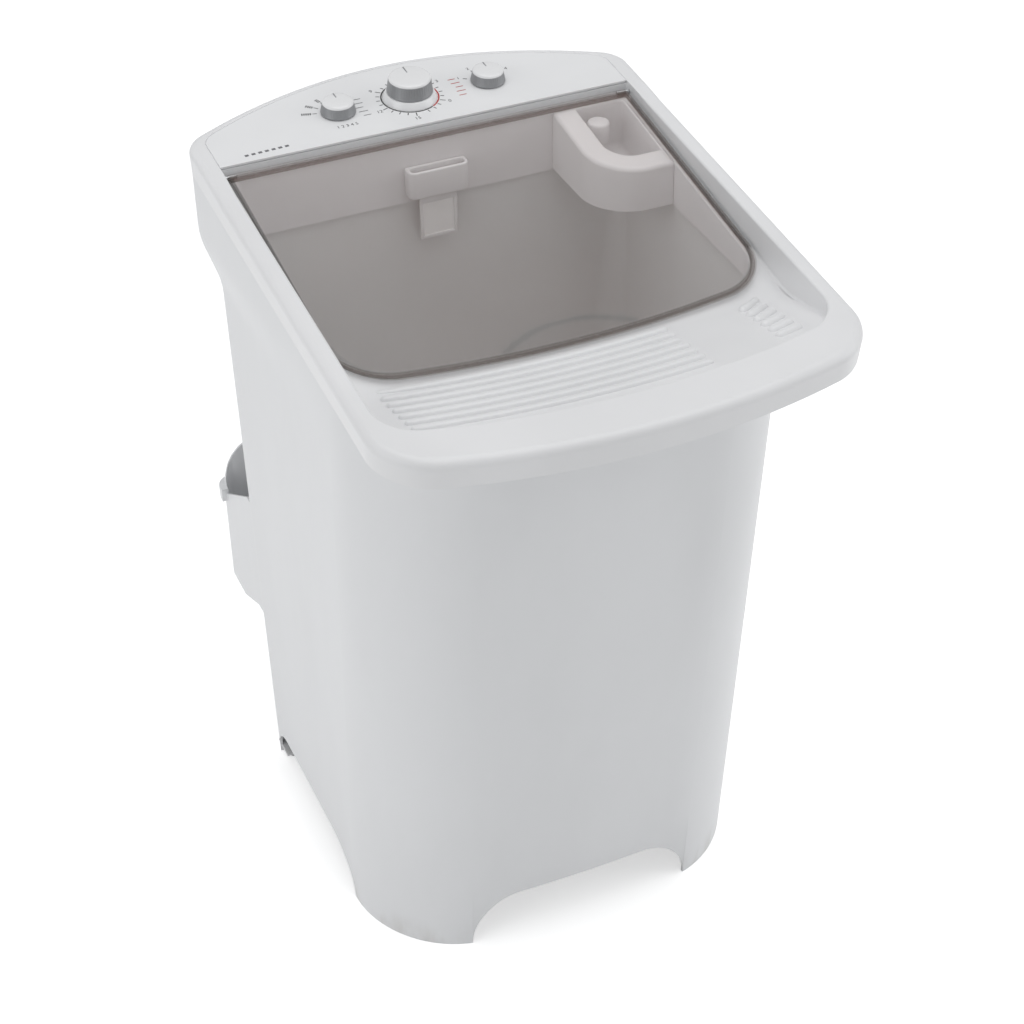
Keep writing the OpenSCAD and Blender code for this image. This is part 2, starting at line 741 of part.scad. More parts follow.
// A pan-headed screw along +Z, its head from z = 0 up and its shank below
module screw(r, shank, head_r, head_h) {
    translate([0, 0, -shank]) cylinder(r = r, h = shank);
    difference() {
        cylinder(r1 = head_r, r2 = head_r * 0.8, h = head_h);
        translate([0, 0, head_h - 0.9]) cube([head_r, 0.9, 2], center = true);
    }
}

module tub_screws() {
    head_h = 2.2;
    color(steel) for (side = [-1, 1]) for (y = tub_screw_ys)
        translate([side * (tub_half + seat_gap / 3), y, tub_screw_z]) rotate([0, side * 90, 0])
            screw(screw_hole_r - 0.2, tub_wall + tub_seat + frame_wall * 0.6, 3.2, head_h);
}

// Softener cup in the rear right corner of the opening
cup_w = 90;
cup_len = 135;
cup_r = 60;
cup_rim = 29;
cup_left = opening_half - cup_w;
cup_front = opening_back - cup_len;
cup_floor = skirt_end_z + 14;
post_r = 7;
cap_r = 13;
post_x = cup_left + cup_rim + cap_r + 3;
post_y = opening_back - 29;
function cup_points(i) = concat(
    [[far, far], [cup_left + i, far]],
    [for (k = [0:2 * corner_steps]) let (a = 180 + 90 * k / (2 * corner_steps))
        [cup_left + cup_r + (cup_r - i) * cos(a), cup_front + cup_r + (cup_r - i) * sin(a)]],
    [[far, cup_front + i]]);
module cup_plan(i, rim) {
    intersection() {
        polygon(cup_points(i + rim));
        polygon(inset_points(opening_plan, seat_gap + i));
    }
}
module dispenser_cup() {
    bore_r = 3;
    wall = 3;
    color(white) difference() {
        union() {
            difference() {
                translate([0, 0, skirt_end_z + 1]) linear_extrude(100) cup_plan(0, 0);
                // cut off on the ledge's plane, under the lid
                on_lid() translate([0, 0, -ledge_drop - 0.5]) linear_extrude(far)
                    square([far, far], center = true);
                translate([0, 0, cup_floor]) linear_extrude(far) cup_plan(wall, cup_rim - wall);
                // the broad rim is hollow from below
                intersection() {
                    linear_extrude(far) difference() {
                        cup_plan(wall, 0);
                        cup_plan(0, cup_rim - wall);
                    }
                    on_lid() translate([0, 0, -ledge_drop - 0.5 - wall - far]) linear_extrude(far)
                        square([2 * far, 2 * far], center = true);
                }
            }
            translate([post_x, post_y, cup_floor - 1]) cylinder(r = post_r, h = 36);
        }
        translate([post_x, post_y, skirt_end_z - 5]) cylinder(r = bore_r, h = 80);
        inlet_way();
    }
}

siphon_lift = 7;
cap_top = lid_z(post_y) - lid_t - siphon_lift - 2.5;
module siphon_cap() {
    skirt = 26;
    color(white) translate([post_x, post_y, cap_top - skirt]) difference() {
        union() {
            cylinder(r = cap_r, h = skirt - 2);
            translate([0, 0, skirt - 2]) cylinder(r1 = cap_r, r2 = cap_r - 2, h = 2);
        }
        translate([0, 0, -1]) cylinder(r = post_r + run_gap, h = skirt - 2);
    }
}

// Lint filter: a bracket on the opening's back wall and a mesh frame that hangs in it
bracket_half = 37;
bracket_t = 20;
bracket_low = skirt_end_z + 12;
bracket_top = bracket_low + 34;
filter_half = 23;
filter_t = 3;
filter_low = 750;
filter_y = opening_back - seat_gap - bracket_t / 2;
filter_lift = 12;
module filter_bracket() {
    color(white) translate([0, filter_y, 0]) difference() {
        translate([0, 0, bracket_low]) linear_extrude(bracket_top - bracket_low)
            polygon(outline(bracket_half, bracket_half, -bracket_t / 2, bracket_t / 2,
                bracket_t / 2 - 1, 2, 0, 0));
        // the slot that the mesh frame hangs in, wider at its mouth
        translate([-filter_half - run_gap, -filter_t / 2 - run_gap, bracket_low - 1])
            cube([2 * (filter_half + run_gap), filter_t + 2 * run_gap, 60]);
        translate([-bracket_half + 5, -filter_t, bracket_top - 5])
            cube([2 * bracket_half - 10, 2 * filter_t, 10]);
    }
}
module filter_frame() {
    border = 4;
    grip = 3;
    color(white) translate([0, filter_y, 0]) difference() {
        union() {
            translate([-filter_half, -filter_t / 2, filter_low])
                cube([2 * filter_half, filter_t, bracket_top + 2 - filter_low]);
            translate([-filter_half - grip, -filter_t / 2 - 0.8, bracket_top - 5 + seat_gap])
                cube([2 * (filter_half + grip), filter_t + 1.6, 7]);
        }
        translate([-filter_half + border, -10, filter_low + border])
            cube([2 * (filter_half - border), 20, bracket_low - filter_low - border - 4]);
    }
}
module filter_mesh() {
    border = 4 + 0.2;
    bar = 0.9;
    pitch = 4;
    low = filter_low + border;
    wide = 2 * (filter_half - border);
    tall = bracket_low - filter_low - 8.4;
    nx = floor((wide - bar) / pitch);
    nz = floor((tall - bar) / pitch);
    color(filter_grey) translate([-wide / 2, filter_y + 0.4, low]) rotate([90, 0, 0])
        linear_extrude(0.8) difference() {
            square([wide, tall]);
            for (i = [0:nx - 1]) for (k = [0:nz - 1])
                translate([bar + i * (wide - bar) / nx, bar + k * (tall - bar) / nz])
                    square([(wide - bar) / nx - bar, (tall - bar) / nz - bar]);
        }
}

module water_inlet() {
    outer = console_y(inlet_x) + 4.3;
    thread_len = 16;
    color(white) translate([inlet_x, 0, inlet_z]) rotate([-90, 0, 0]) difference() {
        union() {
            translate([0, 0, outer - 12]) cylinder(r = inlet_flange_r, h = 12);
            translate([0, 0, outer - 1]) cylinder(r = inlet_r, h = thread_len + 1);
            translate([0, 0, opening_back - 4]) cylinder(r = inlet_pipe_r, h = outer - opening_back);
        }
        translate([0, 0, opening_back - 5]) cylinder(r = inlet_pipe_r - 1.5, h = far);
        translate([0, 0, outer + 2]) cylinder(r = inlet_r - 3, h = 50);
    }
}

// Service cover on the back, with rows of louvre slots
cover_t = 1.6;
module rear_cover() {
    rows = 7;
    slot_w = 54;
    color(steel) on_back() difference() {
        translate([service_x - service_half - cover_margin, 0, service_low - cover_margin])
            cube([2 * (service_half + cover_margin), cover_t,
                service_high - service_low + 2 * cover_margin]);
        for (p = cover_screw_places)
            translate([p[0], -5, p[1]]) rotate([-90, 0, 0]) cylinder(r = screw_hole_r, h = 20);
        for (k = [0:rows - 1]) for (sx = [-1, 1])
            translate([service_x + sx * service_half / 2 - slot_w / 2, -5,
                (service_low + service_high) / 2 - (rows - 1) * 9 + k * 18])
                cube([slot_w, 20, 5]);
    }
}
module cover_screws() {
    color(steel) on_back() for (p = cover_screw_places)
        translate([p[0], cover_t, p[1]]) rotate([-90, 0, 0]) screw(screw_hole_r - 0.2, 9, 4.2, 2.2);
}

// Scoop-shaped pocket on the back that holds the end of a hose
pocket_outer = pocket_back - 8;
pocket_screw_places = [for (x = [pocket_left + 40, pocket_right - 30])
    for (z = [pocket_bottom + 53, pocket_top - 26]) [x, z]];
function pocket_arch(i) = [for (k = [0:16]) let (a = 180 * k / 16, half = pocket_w / 2 + i)
    [(pocket_left + pocket_right) / 2 + half * cos(a),
        pocket_lip + (pocket_crest - pocket_lip) * sin(a)]];
module hose_pocket() {
    keel = 28;
    lip_h = 18;
    lip_out = pocket_back - pocket_outer;
    round_r = 16;
    back_t = 3;
    low_back = base_back - 22;
    floor_y = back_y(pocket_bottom) + 62;
    color(white) difference() {
        union() {
            intersection() {
                union() {
                    along_x(pocket_left, pocket_right) polygon([
                        [low_back, pocket_top], [back_y(pocket_top), pocket_top],
                        [pocket_outer, pocket_lip], [pocket_outer, pocket_bottom + 8],
                        [pocket_outer - 6, pocket_bottom], [floor_y, pocket_bottom],
                        [back_y(pocket_bottom + keel), pocket_bottom + keel],
                        [low_back, pocket_bottom + keel]]);
                    // the outer wall rises in an arch above the side walls
                    along_y(pocket_outer - round_r, pocket_outer)
                        polygon(concat([[pocket_left, pocket_lip - 1]], pocket_arch(0),
                            [[pocket_right, pocket_lip - 1]]));
                }
                pocket_column(0, round_r, pocket_outer);
            }
            intersection() {
                translate([pocket_left - lip_out, pocket_outer - 22, pocket_lip + 3])
                    cube([pocket_w + 2 * lip_out, 40, lip_h]);
                pocket_column(-lip_out + 2, round_r + 6, pocket_back);
            }
        }
        intersection() {
            along_x(pocket_left, pocket_right) polygon([
                [back_y(pocket_bottom + keel) + back_t, pocket_bottom + keel + 2],
                [floor_y + 2, pocket_bottom + pocket_wall],
                [pocket_outer - 6, pocket_bottom + pocket_wall],
                [pocket_outer, pocket_bottom + 10],
                [pocket_outer, far], [back_y(far) + back_t, far]]);
            pocket_column(pocket_wall, round_r - pocket_wall, pocket_outer - pocket_wall);
        }
        // the sides stay open above their sloping walls
        along_x(pocket_left - 20, pocket_right + 20) polygon([
            [back_y(pocket_top) + 1, pocket_top], [pocket_outer - round_r - 6, pocket_lip + 16],
            [pocket_outer - round_r - 6, far], [back_y(far), far]]);
        cabinet_block(-0.2, 0);
        on_back() for (p = pocket_screw_places) translate([p[0], -5, p[1]]) rotate([-90, 0, 0])
            cylinder(r = screw_hole_r, h = 20);
    }
}
module pocket_column(i, r, reach) {
    mid = (pocket_left + pocket_right) / 2;
    translate([mid, 0, 0]) linear_extrude(far)
        polygon(outline(pocket_w / 2 - i, pocket_w / 2 - i, base_back / 2, reach, 2, r, 0, 0));
}
module pocket_screws() {
    color(steel) on_back() for (p = pocket_screw_places)
        translate([p[0], 3.2, p[1]]) rotate([-90, 0, 0]) screw(screw_hole_r - 0.2, 10, 4.2, 2.2);
}

module drain_strainer() {
    plate = 2;
    color(white) translate([drain_x, drain_y, tub_floor + seat_gap]) difference() {
        union() {
            cylinder(r = drain_r + 5, h = plate);
            translate([0, 0, -7]) cylinder(r = drain_r - 0.4, h = 7);
        }
        for (ring = [0:2]) for (i = [0:max(ring * 6 - 1, 0)])
            rotate([0, 0, i * 60 / max(ring, 1)]) translate([ring * 5.6, 0, -10])
                cylinder(r = 1.8, h = 20);
    }
}

// Waste pipe from the tub's floor to the spigot on the back
drain_pipe_r = spigot_r - 1.5;
spigot_len = 27;
spigot_stand = 1;
module drain_pipe() {
    top = tub_bottom - 6 - seat_gap;
    wall = 2.2;
    spigot_end = back_y(spigot_z) + spigot_stand + spigot_len;
    color(dark) difference() {
        union() {
            translate([drain_x, drain_y, top - 6]) cylinder(r = drain_r + 6, h = 6);
            translate([drain_x, drain_y, spigot_z]) cylinder(r = drain_pipe_r, h = top - spigot_z);
            translate([drain_x, drain_y, spigot_z]) sphere(r = drain_pipe_r);
            translate([spigot_x, drain_y, spigot_z]) rotate([-90, 0, 0])
                cylinder(r = drain_pipe_r, h = spigot_end - spigot_len - drain_y + 1);
            translate([spigot_x, spigot_end - spigot_len, spigot_z]) rotate([-90, 0, 0])
                cylinder(r = spigot_r, h = spigot_len);
        }
        translate([drain_x, drain_y, spigot_z]) cylinder(r = drain_pipe_r - wall, h = far);
        translate([spigot_x, drain_y, spigot_z]) rotate([-90, 0, 0])
            cylinder(r = drain_pipe_r - wall, h = far);
    }
}

module cord_gland() {
    collar = 3;
    nose = 16;
    bore = 3.6;
    color(dark) on_back() translate([spigot_x, 0, gland_z]) rotate([-90, 0, 0]) difference() {
        union() {
            translate([0, 0, -cabinet_wall - 4]) cylinder(r = gland_r - seat_gap, h = cabinet_wall + 5);
            cylinder(r = gland_r + 4, h = collar);
            translate([0, 0, collar - 1]) cylinder(r1 = gland_r, r2 = gland_r - 2.5, h = nose);
        }
        translate([0, 0, -20]) cylinder(r = bore, h = 60);
    }
}

// Drive: heights of the two pulleys and of the parts on the agitator's shaft
pulley_z = 276;
flange_t = 3;
groove_half = belt_w / 2 + 0.4;
shaft_low = pulley_z - 26;
shaft_top = tub_floor + 50;
housing_low = pulley_z + 26;
neck_top = tub_floor + 14;
bush_t = 4;
bush_len = 18;
motor_y = (base_back + neck_back) / 2 - cabinet_wall - motor_clear - motor_r;
drive_span = motor_y - axis_y;
bracket_z = tub_bottom - 14;
motor_top = bracket_z - seat_gap;
motor_shaft_r = 6;

module bearing_housing() {
    flange_r = 62;
    flange = 6;
    top = tub_bottom - seat_gap;
    color(steel) translate([0, axis_y, 0]) difference() {
        union() {
            translate([0, 0, top - flange]) cylinder(r = flange_r, h = flange);
            translate([0, 0, top - 1]) cylinder(r = neck_r, h = neck_top - top + 1);
            translate([0, 0, housing_low]) cylinder(r = neck_r + 2, h = top - housing_low);
            for (i = [0:5]) rotate([0, 0, 30 + i * 60]) translate([0, -2, 0])
                along_y(0, 4) polygon([[neck_r, top - 40], [neck_r, top - flange + 1],
                    [flange_r - 6, top - flange + 1]]);
        }
        translate([0, 0, housing_low - 5]) cylinder(r = shaft_r + bush_t, h = far);
        for (i = [0:housing_screw_count - 1]) rotate([0, 0, i * 360 / housing_screw_count])
            translate([housing_screw_ring, 0, 0]) cylinder(r = screw_hole_r + 0.6, h = far);
    }
}
module housing_screws() {
    color(steel) translate([0, axis_y, 0])
        for (i = [0:housing_screw_count - 1]) rotate([0, 0, i * 360 / housing_screw_count])
            translate([housing_screw_ring, 0, tub_bottom - seat_gap - 6 - seat_gap]) rotate([180, 0, 0])
                screw(screw_hole_r + 0.3, 12, 5, 3);
}
module upper_bush() {
    color([0.72, 0.55, 0.3]) translate([0, axis_y, 0])
        tube(shaft_r + bush_t, shaft_r + run_gap, neck_top - bush_len, neck_top);
}
module lower_bush() {
    color([0.72, 0.55, 0.3]) translate([0, axis_y, 0])
        tube(shaft_r + bush_t, shaft_r + run_gap, housing_low, housing_low + bush_len);
}
module shaft_seal() {
    color(dark) translate([0, axis_y, 0]) {
        tube(neck_r - 3, shaft_r + run_gap, neck_top + 0.1, neck_top + 5);
    }
}
module agitator_shaft() {
    color(steel) translate([0, axis_y, 0]) {
        translate([0, 0, shaft_low]) cylinder(r = shaft_r, h = shaft_top - shaft_low);
        translate([0, 0, housing_low - 6 - seat_gap]) cylinder(r = shaft_r + 3, h = 6);
    }
}

// Agitator dish with curved vanes and a hub over the bearing's neck
dish_low = tub_floor + 4;
hub_h = 55;
module agitator() {
    t = 3.5;
    hub_r = 27;
    hub_top = dish_low + hub_h;
    color(white) translate([0, axis_y, 0]) difference() {
        union() {
            rotate_extrude($fn = 96) polygon([[agitator_r, dish_low], [agitator_r, dish_low + 4],
                [agitator_r * 0.83, dish_low + 12], [agitator_r * 0.42, dish_low + 24],
                [hub_r + 5, dish_low + 36], [hub_r, hub_top], [0, hub_top], [0, hub_top - t],
                [hub_r - t, hub_top - t], [hub_r + 2, dish_low + 34],
                [agitator_r * 0.42 - 2, dish_low + 24 - t], [agitator_r * 0.83 - 1, dish_low + 12 - t],
                [agitator_r - t, dish_low + 2], [agitator_r - t, dish_low]]);
            translate([0, 0, dish_low + 20]) cylinder(r = shaft_r + 6, h = hub_top - dish_low - 21);
            for (i = [0:vane_count - 1]) rotate([0, 0, i * 360 / vane_count]) agitator_vane(hub_r);
        }
        translate([0, 0, dish_low]) cylinder(r = shaft_r, h = shaft_top - dish_low);
    }
}
module agitator_vane(hub_r) {
    sweep_r = agitator_r * 0.95;
    vane_t = 8;
    intersection() {
        rotate_extrude($fn = 96) polygon([[hub_r + 3.5, dish_low + 35], [agitator_r * 0.42, dish_low + 22.5],
            [agitator_r * 0.83, dish_low + 10.5], [agitator_r * 0.95, dish_low + 5],
            [agitator_r * 0.95, dish_low + 8], [agitator_r * 0.83, dish_low + 12 + vane_h * 0.7],
            [agitator_r * 0.42, dish_low + 24 + vane_h], [hub_r - 0.5, hub_h + dish_low - 5]]);
        translate([hub_r, sweep_r, dish_low]) difference() {
            cylinder(r = sweep_r + vane_t / 2, h = far, $fn = 96);
            translate([0, 0, -1]) cylinder(r = sweep_r - vane_t / 2, h = far + 2, $fn = 96);
        }
        translate([0, -agitator_r / 2, dish_low]) cube([agitator_r, agitator_r, far]);
    }
}
module agitator_cap() {
    color(silver) translate([0, axis_y, dish_low + hub_h + 0.1]) {
        cylinder(r = 20, h = 3);
        translate([0, 0, 3]) cylinder(r1 = 20, r2 = 12, h = 4);
    }
}

// A flanged belt pulley with a hub, standing on the belt's line
module belt_pulley(groove_r, bore_r, hub_r, low, high) {
    lip = groove_r + belt_t + 2;
    outer = groove_half + flange_t;
    rotate_extrude($fn = 96) polygon([[bore_r, low], [hub_r, low], [hub_r, -flange_t],
        [groove_r - 9, -flange_t], [groove_r - 9, -outer], [lip, -outer], [lip - 1, -groove_half],
        [groove_r, -groove_half], [groove_r, groove_half], [lip - 1, groove_half], [lip, outer],
        [groove_r - 9, outer], [groove_r - 9, flange_t], [hub_r, flange_t], [hub_r, high],
        [bore_r, high]]);
}
module drive_pulley() {
    holes = 5;
    color(dark) translate([0, axis_y, pulley_z]) difference() {
        belt_pulley(big_groove_r, shaft_r, 20, -14, 18);
        for (i = [0:holes - 1]) rotate([0, 0, i * 360 / holes])
            translate([(20 + big_groove_r - 9) / 2, 0, -20]) cylinder(r = 13, h = 40);
    }
}
module pulley_nut() {
    color(steel) translate([0, axis_y, pulley_z - 14 - 9.1]) difference() {
        cylinder(r = 14, h = 9, $fn = 6);
        translate([0, 0, -1]) cylinder(r = shaft_r, h = 20);
    }
}
module motor_pulley() {
    color(steel) translate([0, motor_y, pulley_z])
        belt_pulley(small_groove_r, motor_shaft_r, small_groove_r - 9, -10, 12);
}
module motor_rotor() {
    color(steel) translate([0, motor_y, pulley_z - 12])
        cylinder(r = motor_shaft_r, h = motor_top - 8 - pulley_z + 12);
}
module drive_belt() {
    inner = seat_gap;
    color(dark) translate([0, axis_y, pulley_z - belt_w / 2]) linear_extrude(belt_w) difference() {
        hull() {
            circle(r = big_groove_r + inner + belt_t, $fn = 72);
            translate([0, drive_span]) circle(r = small_groove_r + inner + belt_t, $fn = 72);
        }
        hull() {
            circle(r = big_groove_r + inner, $fn = 72);
            translate([0, drive_span]) circle(r = small_groove_r + inner, $fn = 72);
        }
    }
}
module motor() {
    low = motor_top - motor_h;
    groove = 2;
    color(silver) translate([0, motor_y, 0]) difference() {
        rotate_extrude($fn = 72) polygon([[motor_shaft_r + run_gap, low - 8], [15, low - 8],
            [16, low], [motor_r - 8, low], [motor_r, low + 10], [motor_r, low + 22],
            [motor_r - groove, low + 24], [motor_r - groove, motor_top - 24],
            [motor_r, motor_top - 22], [motor_r, motor_top - 8], [motor_r - 8, motor_top],
            [motor_shaft_r + run_gap, motor_top]]);
        for (i = [0:11]) rotate([0, 0, i * 30]) translate([motor_r - 20, 0, low - 1])
            cylinder(r = 4, h = 9);
    }
}
mount_half = 62;
mount_ys = [motor_y - 67, motor_y - 25];
mount_places = [for (y = mount_ys) for (sx = [-1, 1]) [sx * mount_half, y]];
module motor_bracket() {
    t = 4;
    plate_half = mount_half + 16;
    plate_len = 138;
    plate_back = 54;
    color(steel) difference() {
        translate([-plate_half, motor_y - plate_len + plate_back, bracket_z])
            cube([2 * plate_half, plate_len, t]);
        for (p = mount_places) translate([p[0], p[1], bracket_z - 5]) cylinder(r = 3, h = 20);
        translate([0, motor_y, bracket_z - 5]) cylinder(r = 22, h = 20);
        translate([0, axis_y, bracket_z - 5]) cylinder(r = 64, h = 20);
    }
}
module motor_mounts() {
    low = bracket_z + 4 + 0.1;
    color(dark) for (p = mount_places) translate([p[0], p[1], low]) cylinder(r = 9, h = tub_bottom - 0.1 - low);
}

// Run capacitor in a spring clip on the back wall
capacitor_r = 20;
capacitor_x = -150;
capacitor_low = 255;
module at_capacitor() {
    on_back() translate([capacitor_x, -cabinet_wall - seat_gap - capacitor_r - 6, capacitor_low]) children();
}
module capacitor() {
    color(steel) at_capacitor() {
        cylinder(r = capacitor_r, h = 72);
        for (sx = [-1, 1]) translate([sx * 6 - 1, -3, 72]) cube([2, 6, 8]);
    }
}
module capacitor_clip() {
    gap = 0.2;
    t = 2;
    color(steel) at_capacitor() translate([0, 0, 26]) difference() {
        union() {
            cylinder(r = capacitor_r + gap + t, h = 18);
            translate([-14, 0, 0]) cube([28, capacitor_r + 6, 18]);
        }
        translate([0, 0, -1]) cylinder(r = capacitor_r + gap, h = 20);
        translate([-8, -capacitor_r - 10, -1]) cube([16, 20, 20]);
    }
}

// Lid: a smoked sheet with a turned-down edge, a hinge barrel, a finger lip and a grip
lid_half = recess_half - lid_gap;
lid_bow = opening_bow * pow(lid_half / opening_half, 2);
lid_reach = opening_front + 3;
lid_r = opening_r + 5;
grip_r = (pow(grip_chord / 2, 2) + pow(grip_depth, 2)) / (2 * grip_depth);
function lid_points(i, reach) = outline(lid_half - i, lid_half - i,
    lid_v(-reach) + lid_bow + i, barrel_v, lid_r - i, 1, lid_bow, 0);
module lid() {
    dip = 1.8;
    edge_t = 2.6;
    grip_v = lid_v(-lid_reach) + grip_depth - grip_r;
    color(smoke) on_lid() difference() {
        union() {
            translate([0, 0, -lid_t]) linear_extrude(lid_t) polygon(lid_points(0, lid_reach + lid_lip));
            translate([0, 0, -lid_edge]) linear_extrude(lid_edge - 1) difference() {
                polygon(lid_points(0, lid_reach));
                polygon(concat(lid_points(edge_t, lid_reach - edge_t / 2)));
            }
            translate([-lid_half, barrel_v, -barrel_r]) rotate([0, 90, 0])
                cylinder(r = barrel_r, h = 2 * lid_half);
            intersection() {
                translate([0, 0, -lid_t - dip]) linear_extrude(lid_t) polygon(lid_points(1, lid_reach));
                translate([0, grip_v, -20]) cylinder(r = grip_r + 2, h = 30, $fn = 160);
            }
        }
        intersection() {
            translate([0, 0, -dip]) linear_extrude(10) polygon(lid_points(edge_t, lid_reach - 2));
            translate([0, grip_v, -20]) cylinder(r = grip_r, h = 30, $fn = 160);
        }
        for (side = [-1, 1]) translate([side * (lid_half - pin_seat / 2 + 2), barrel_v, -barrel_r])
            rotate([0, 90, 0]) cylinder(r = pin_r, h = pin_seat + 4, center = true);
    }
}
pin_seat = 12;
module hinge_pins() {
    color(steel) for (side = [-1, 1])
        translate([side > 0 ? lid_half - pin_seat : -recess_half - frame_wall, hinge_y, hinge_z])
            rotate([0, 90, 0])
                cylinder(r = pin_r, h = recess_half + frame_wall - lid_half + pin_seat);
}

// A control knob: a tapered grip with fine flutes, hollow below, on a hub
module knob(r, h, low) {
    taper = 2.5;
    wall = 2.4;
    flutes = 24;
    translate([0, 0, low]) difference() {
        union() {
            difference() {
                cylinder(r1 = r, r2 = r - taper, h = h - 1.5, $fn = 72);
                translate([0, 0, -1]) cylinder(r = r - taper - wall, h = h - 3.5);
                for (i = [0:flutes - 1]) rotate([0, 0, i * 360 / flutes])
                    translate([r - 0.2, 0, -1]) rotate([0, -atan(taper / h), 0]) cylinder(r = 0.9, h = h + 6);
            }
            translate([0, 0, 1]) cylinder(r = control_shaft_r + 3, h = h - 4);
        }
        translate([0, 0, -1]) cylinder(r = control_shaft_r, h = h - 3);
    }
}
// The pale cap set in the top of a knob, with a pointer
module knob_cap(r, h, low) {
    cap = 1.5;
    translate([0, 0, low + h - 1.5 + 0.05]) union() {
        cylinder(r1 = r, r2 = r - 1, h = cap);
        translate([-1, r * 0.3, cap]) cube([2, r * 0.6, 0.7]);
    }
}
module at_knob(x) {
    on_rim() translate([x, knob_back, 0]) children();
}
shaft_root = deck_w - deck_t - 12;
module control_shaft(top) {
    translate([0, 0, shaft_root]) cylinder(r = control_shaft_r, h = top - shaft_root);
}
timer_low = dial_h + 2 * seat_gap;
selector_low = 2 * seat_gap;
cap_margin = 4;
module timer_knob() {
    color(silver) at_knob(0) knob(timer_r, timer_h, timer_low);
}
module timer_knob_cap() {
    color(panel_white) at_knob(0) knob_cap(timer_r - cap_margin, timer_h, timer_low);
}
module timer_shaft() {
    color(steel) at_knob(0) control_shaft(timer_low + timer_h - 5);
}
module left_knob() {
    color(silver) at_knob(-knob_left_x) knob(selector_r, selector_h, selector_low);
}
module left_knob_cap() {
    color(panel_white) at_knob(-knob_left_x) knob_cap(selector_r - 3, selector_h, selector_low);
}
module left_shaft() {
    color(steel) at_knob(-knob_left_x) control_shaft(selector_low + selector_h - 5);
}
module right_knob() {
    color(silver) at_knob(knob_right_x) knob(selector_r, selector_h, selector_low);
}
module right_knob_cap() {
    color(panel_white) at_knob(knob_right_x) knob_cap(selector_r - 3, selector_h, selector_low);
}
module right_shaft() {
    color(steel) at_knob(knob_right_x) control_shaft(selector_low + selector_h - 5);
}

cabinet();
foot_pads();
top_frame();
control_panel();
timer_dial_ring();
timer_body();
left_selector_body();
right_selector_body();
tub();
tub_screws();
dispenser_cup();
siphon_cap();
filter_bracket();
filter_frame();
filter_mesh();
water_inlet();
rear_cover();
cover_screws();
hose_pocket();
pocket_screws();
drain_strainer();
drain_pipe();
cord_gland();
motor();
motor_bracket();
motor_mounts();
capacitor();
capacitor_clip();
bearing_housing();
housing_screws();
upper_bush();
lower_bush();
shaft_seal();
drive_belt();
lid();
hinge_pins();
left_knob();
left_knob_cap();
left_shaft();
timer_knob();
timer_knob_cap();
timer_shaft();
right_knob();
right_knob_cap();
right_shaft();
agitator();
agitator_cap();
agitator_shaft();
drive_pulley();
pulley_nut();
motor_rotor();
motor_pulley();
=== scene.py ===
from math import asin, atan, cos, hypot, pi, radians, sin, sqrt, tan
import bpy
import bmesh
from mathutils import Matrix, Vector


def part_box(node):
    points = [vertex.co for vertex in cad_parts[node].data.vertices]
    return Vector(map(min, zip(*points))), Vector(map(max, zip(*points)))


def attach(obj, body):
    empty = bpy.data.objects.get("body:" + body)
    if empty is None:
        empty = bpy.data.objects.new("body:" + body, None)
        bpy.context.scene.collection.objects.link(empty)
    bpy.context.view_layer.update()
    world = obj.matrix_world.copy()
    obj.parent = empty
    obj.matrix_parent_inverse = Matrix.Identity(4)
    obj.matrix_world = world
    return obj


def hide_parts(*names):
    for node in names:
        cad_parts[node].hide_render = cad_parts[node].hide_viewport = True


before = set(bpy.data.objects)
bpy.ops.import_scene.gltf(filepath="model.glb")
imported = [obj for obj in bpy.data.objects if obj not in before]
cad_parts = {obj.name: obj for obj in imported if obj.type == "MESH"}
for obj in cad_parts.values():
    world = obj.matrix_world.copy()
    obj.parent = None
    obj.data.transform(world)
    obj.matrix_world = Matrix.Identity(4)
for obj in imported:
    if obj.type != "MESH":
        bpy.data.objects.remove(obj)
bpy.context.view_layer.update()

# Cabinet: one tapered shell of white moulded plastic, open below and above. Arches are cut
# out of its foot, and a shoulder at the back flares out to the console. It carries everything.
# Sizes are in millimetres, as on the drawing; a finished mesh is brought to metres.


class Tone:
    """A socket of one finish, with the arithmetic that shader maths needs."""

    def __init__(self, finish, socket):
        self.finish = finish
        self.socket = socket

    def maths(self, operation, first, second):
        return self.finish.node("Math", {"operation": operation}, {0: first, 1: second})

    def most(self, other):
        return self.maths("MAXIMUM", self, other)

    def __add__(self, other):
        return self.maths("ADD", self, other)

    def __rsub__(self, other):
        return self.maths("SUBTRACT", other, self)

    def __mul__(self, other):
        return self.maths("MULTIPLY", self, other)

    def __truediv__(self, other):
        return self.maths("DIVIDE", self, other)


